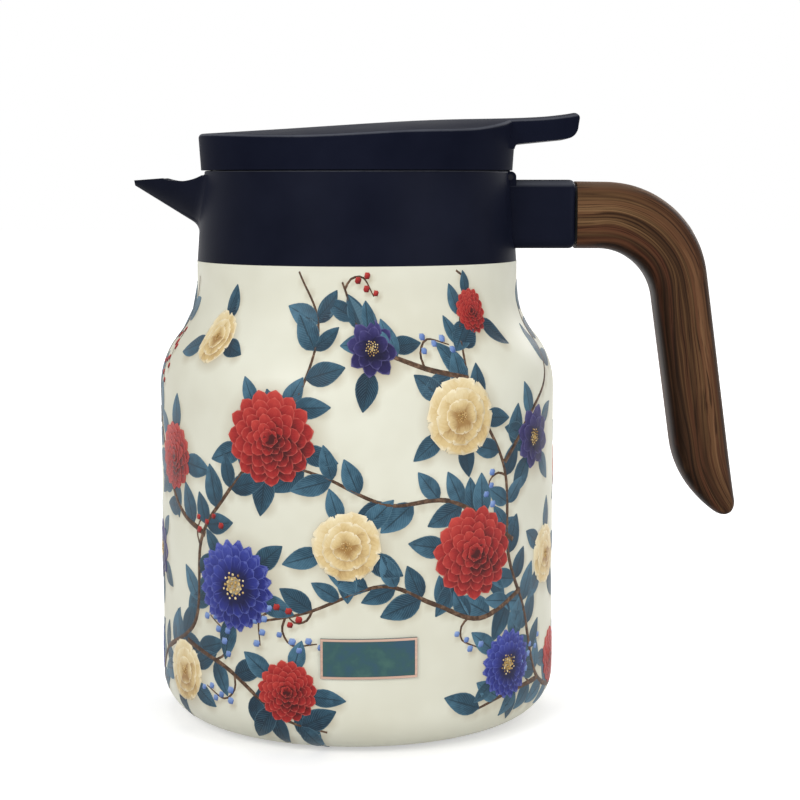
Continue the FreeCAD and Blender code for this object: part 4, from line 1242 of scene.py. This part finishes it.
def dress_cad_nodes():
    steel = metal("brushed_steel", (0.62, 0.61, 0.59, 1), 0.24, 0.40)
    silicone = soft_rubber("pale_silicone", (0.55, 0.55, 0.53, 1))
    plug = moulded_navy("plug_moulding", (0.020, 0.022, 0.030, 1), 900.0)
    looks = {
        "collar": moulded_navy(),
        "lid_cover": moulded_navy("lid_moulding", sheen=0.008),
        "base_cover": moulded_navy("foot_moulding", (0.012, 0.012, 0.016, 1), 900.0),
        "base_pad": soft_rubber("foot_rubber", (0.035, 0.035, 0.038, 1)),
        "lid_inner_plate": plug,
        "lid_plug": plug,
        "label_plate": teal_plate(),
        # A black rubber washer, nearly black so that it also stands in for the shade in the gap between
        # bracket and grip
        "handle_washer": soft_rubber("washer_rubber", (0.012, 0.012, 0.012, 1)),
        "hinge_pin": metal("blackened_steel", (0.020, 0.020, 0.024, 1), 0.42, 0.52),
        "collar_gasket": silicone,
        "lid_seal": silicone,
        "lid_insulation": soft_rubber("pale_foam", (0.70, 0.66, 0.56, 1)),
        "vacuum_seal_bead": soft_rubber("solder_bead", (0.12, 0.11, 0.10, 1)),
    }
    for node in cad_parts:
        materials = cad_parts[node].data.materials
        materials.clear()
        materials.append(looks.get(node, steel))


def add_piece(piece, slot, *nodes):
    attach(piece, "pot")
    if nodes:
        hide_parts(*nodes)


def seen_by_eye(tree):
    """1 for what the camera, a reflection or glass sees directly."""
    path = put(tree, "ShaderNodeLightPath").outputs
    seen = maths("ADD", path["Is Camera Ray"], path["Is Glossy Ray"], clamp=True)
    return maths("ADD", seen, path["Is Transmission Ray"], clamp=True)


def floor_paper():
    """Matt paper that glows, where it is seen, up to the white of the surround."""
    paper = bpy.data.materials.new("pale_floor")
    paper.use_nodes = True
    tree = paper.node_tree
    tree.nodes.clear()
    matt = put(tree, "ShaderNodeBsdfDiffuse", {"Color": (0.72, 0.72, 0.72, 1)})
    away = put(tree, "ShaderNodeVectorMath", {0: object_space(tree)}, operation="LENGTH").outputs["Value"]
    lift = span(away, 0.10, 0.9, 0.45, 1.0, smooth=True)
    glow = put(tree, "ShaderNodeEmission", {"Color": (1, 1, 1, 1), "Strength": lift})
    both = put(tree, "ShaderNodeAddShader", {0: matt.outputs[0], 1: glow.outputs[0]})
    choice = put(tree, "ShaderNodeMixShader", {0: seen_by_eye(tree), 1: matt.outputs[0], 2: both.outputs[0]})
    put(tree, "ShaderNodeOutputMaterial", {"Surface": choice.outputs[0]})
    return paper


def add_softbox(name, place, width, watts):
    lamp = bpy.data.lights.new(name, "AREA")
    lamp.shape = "DISK"
    lamp.size = width
    lamp.energy = watts
    thing = add_object(name, lamp)
    thing.location = place
    x, y, z = np.subtract(SOFTBOX_AIM, place)
    thing.rotation_euler = (math.atan2(math.hypot(x, y), -z), 0.0, math.atan2(y, x) - math.pi / 2)


def set_stage():
    """A pale floor, a white surround and soft studio lamps."""
    scene = bpy.context.scene
    scene.view_settings.view_transform = "Standard"
    world = bpy.data.worlds.new("studio")
    scene.world = world
    world.use_nodes = True
    tree = world.node_tree
    background = tree.nodes["Background"]
    tree.links.new(span(seen_by_eye(tree), 0.0, 1.0, 0.42, 1.0), background.inputs["Strength"])
    background.inputs["Color"].default_value = (1, 1, 1, 1)

    corners = [(x * FLOOR_HALF, y * FLOOR_HALF, 0) for x, y in SQUARE]
    floor = new_object("pale_floor", corners, [(0, 1, 2, 3)], floor_paper())

    for name, (place, width, watts) in SOFTBOXES.items():
        add_softbox(name, place, width, watts)


def set_camera():
    """The photograph's view: 0.6 m away, at the height of the collar, looking a little down."""
    data = bpy.data.cameras.new("photo_camera")
    data.sensor_width = 36.0
    data.lens = 84.7
    data.clip_start = 0.01
    camera = add_object("photo_camera", data)
    camera.location = CAMERA_PLACE
    camera.rotation_euler = (math.radians(90 - CAMERA_TILT), 0.0, 0.0)
    bpy.context.scene.camera = camera


def main():
    dress_cad_nodes()
    design = PrintedDesign()
    add_piece(turned_shell(cream_enamel(), design.shadows), "enamel", "outer_shell")
    for piece in print_pieces(design):
        add_piece(piece, "enamel")
    add_piece(swept_grip(walnut()), "grip_wood", "handle_grip")
    add_piece(label_border(metal("rose_copper", (0.50, 0.34, 0.27, 1), 0.34, 0.46, 900.0)), "label")
    set_stage()
    set_camera()


main()
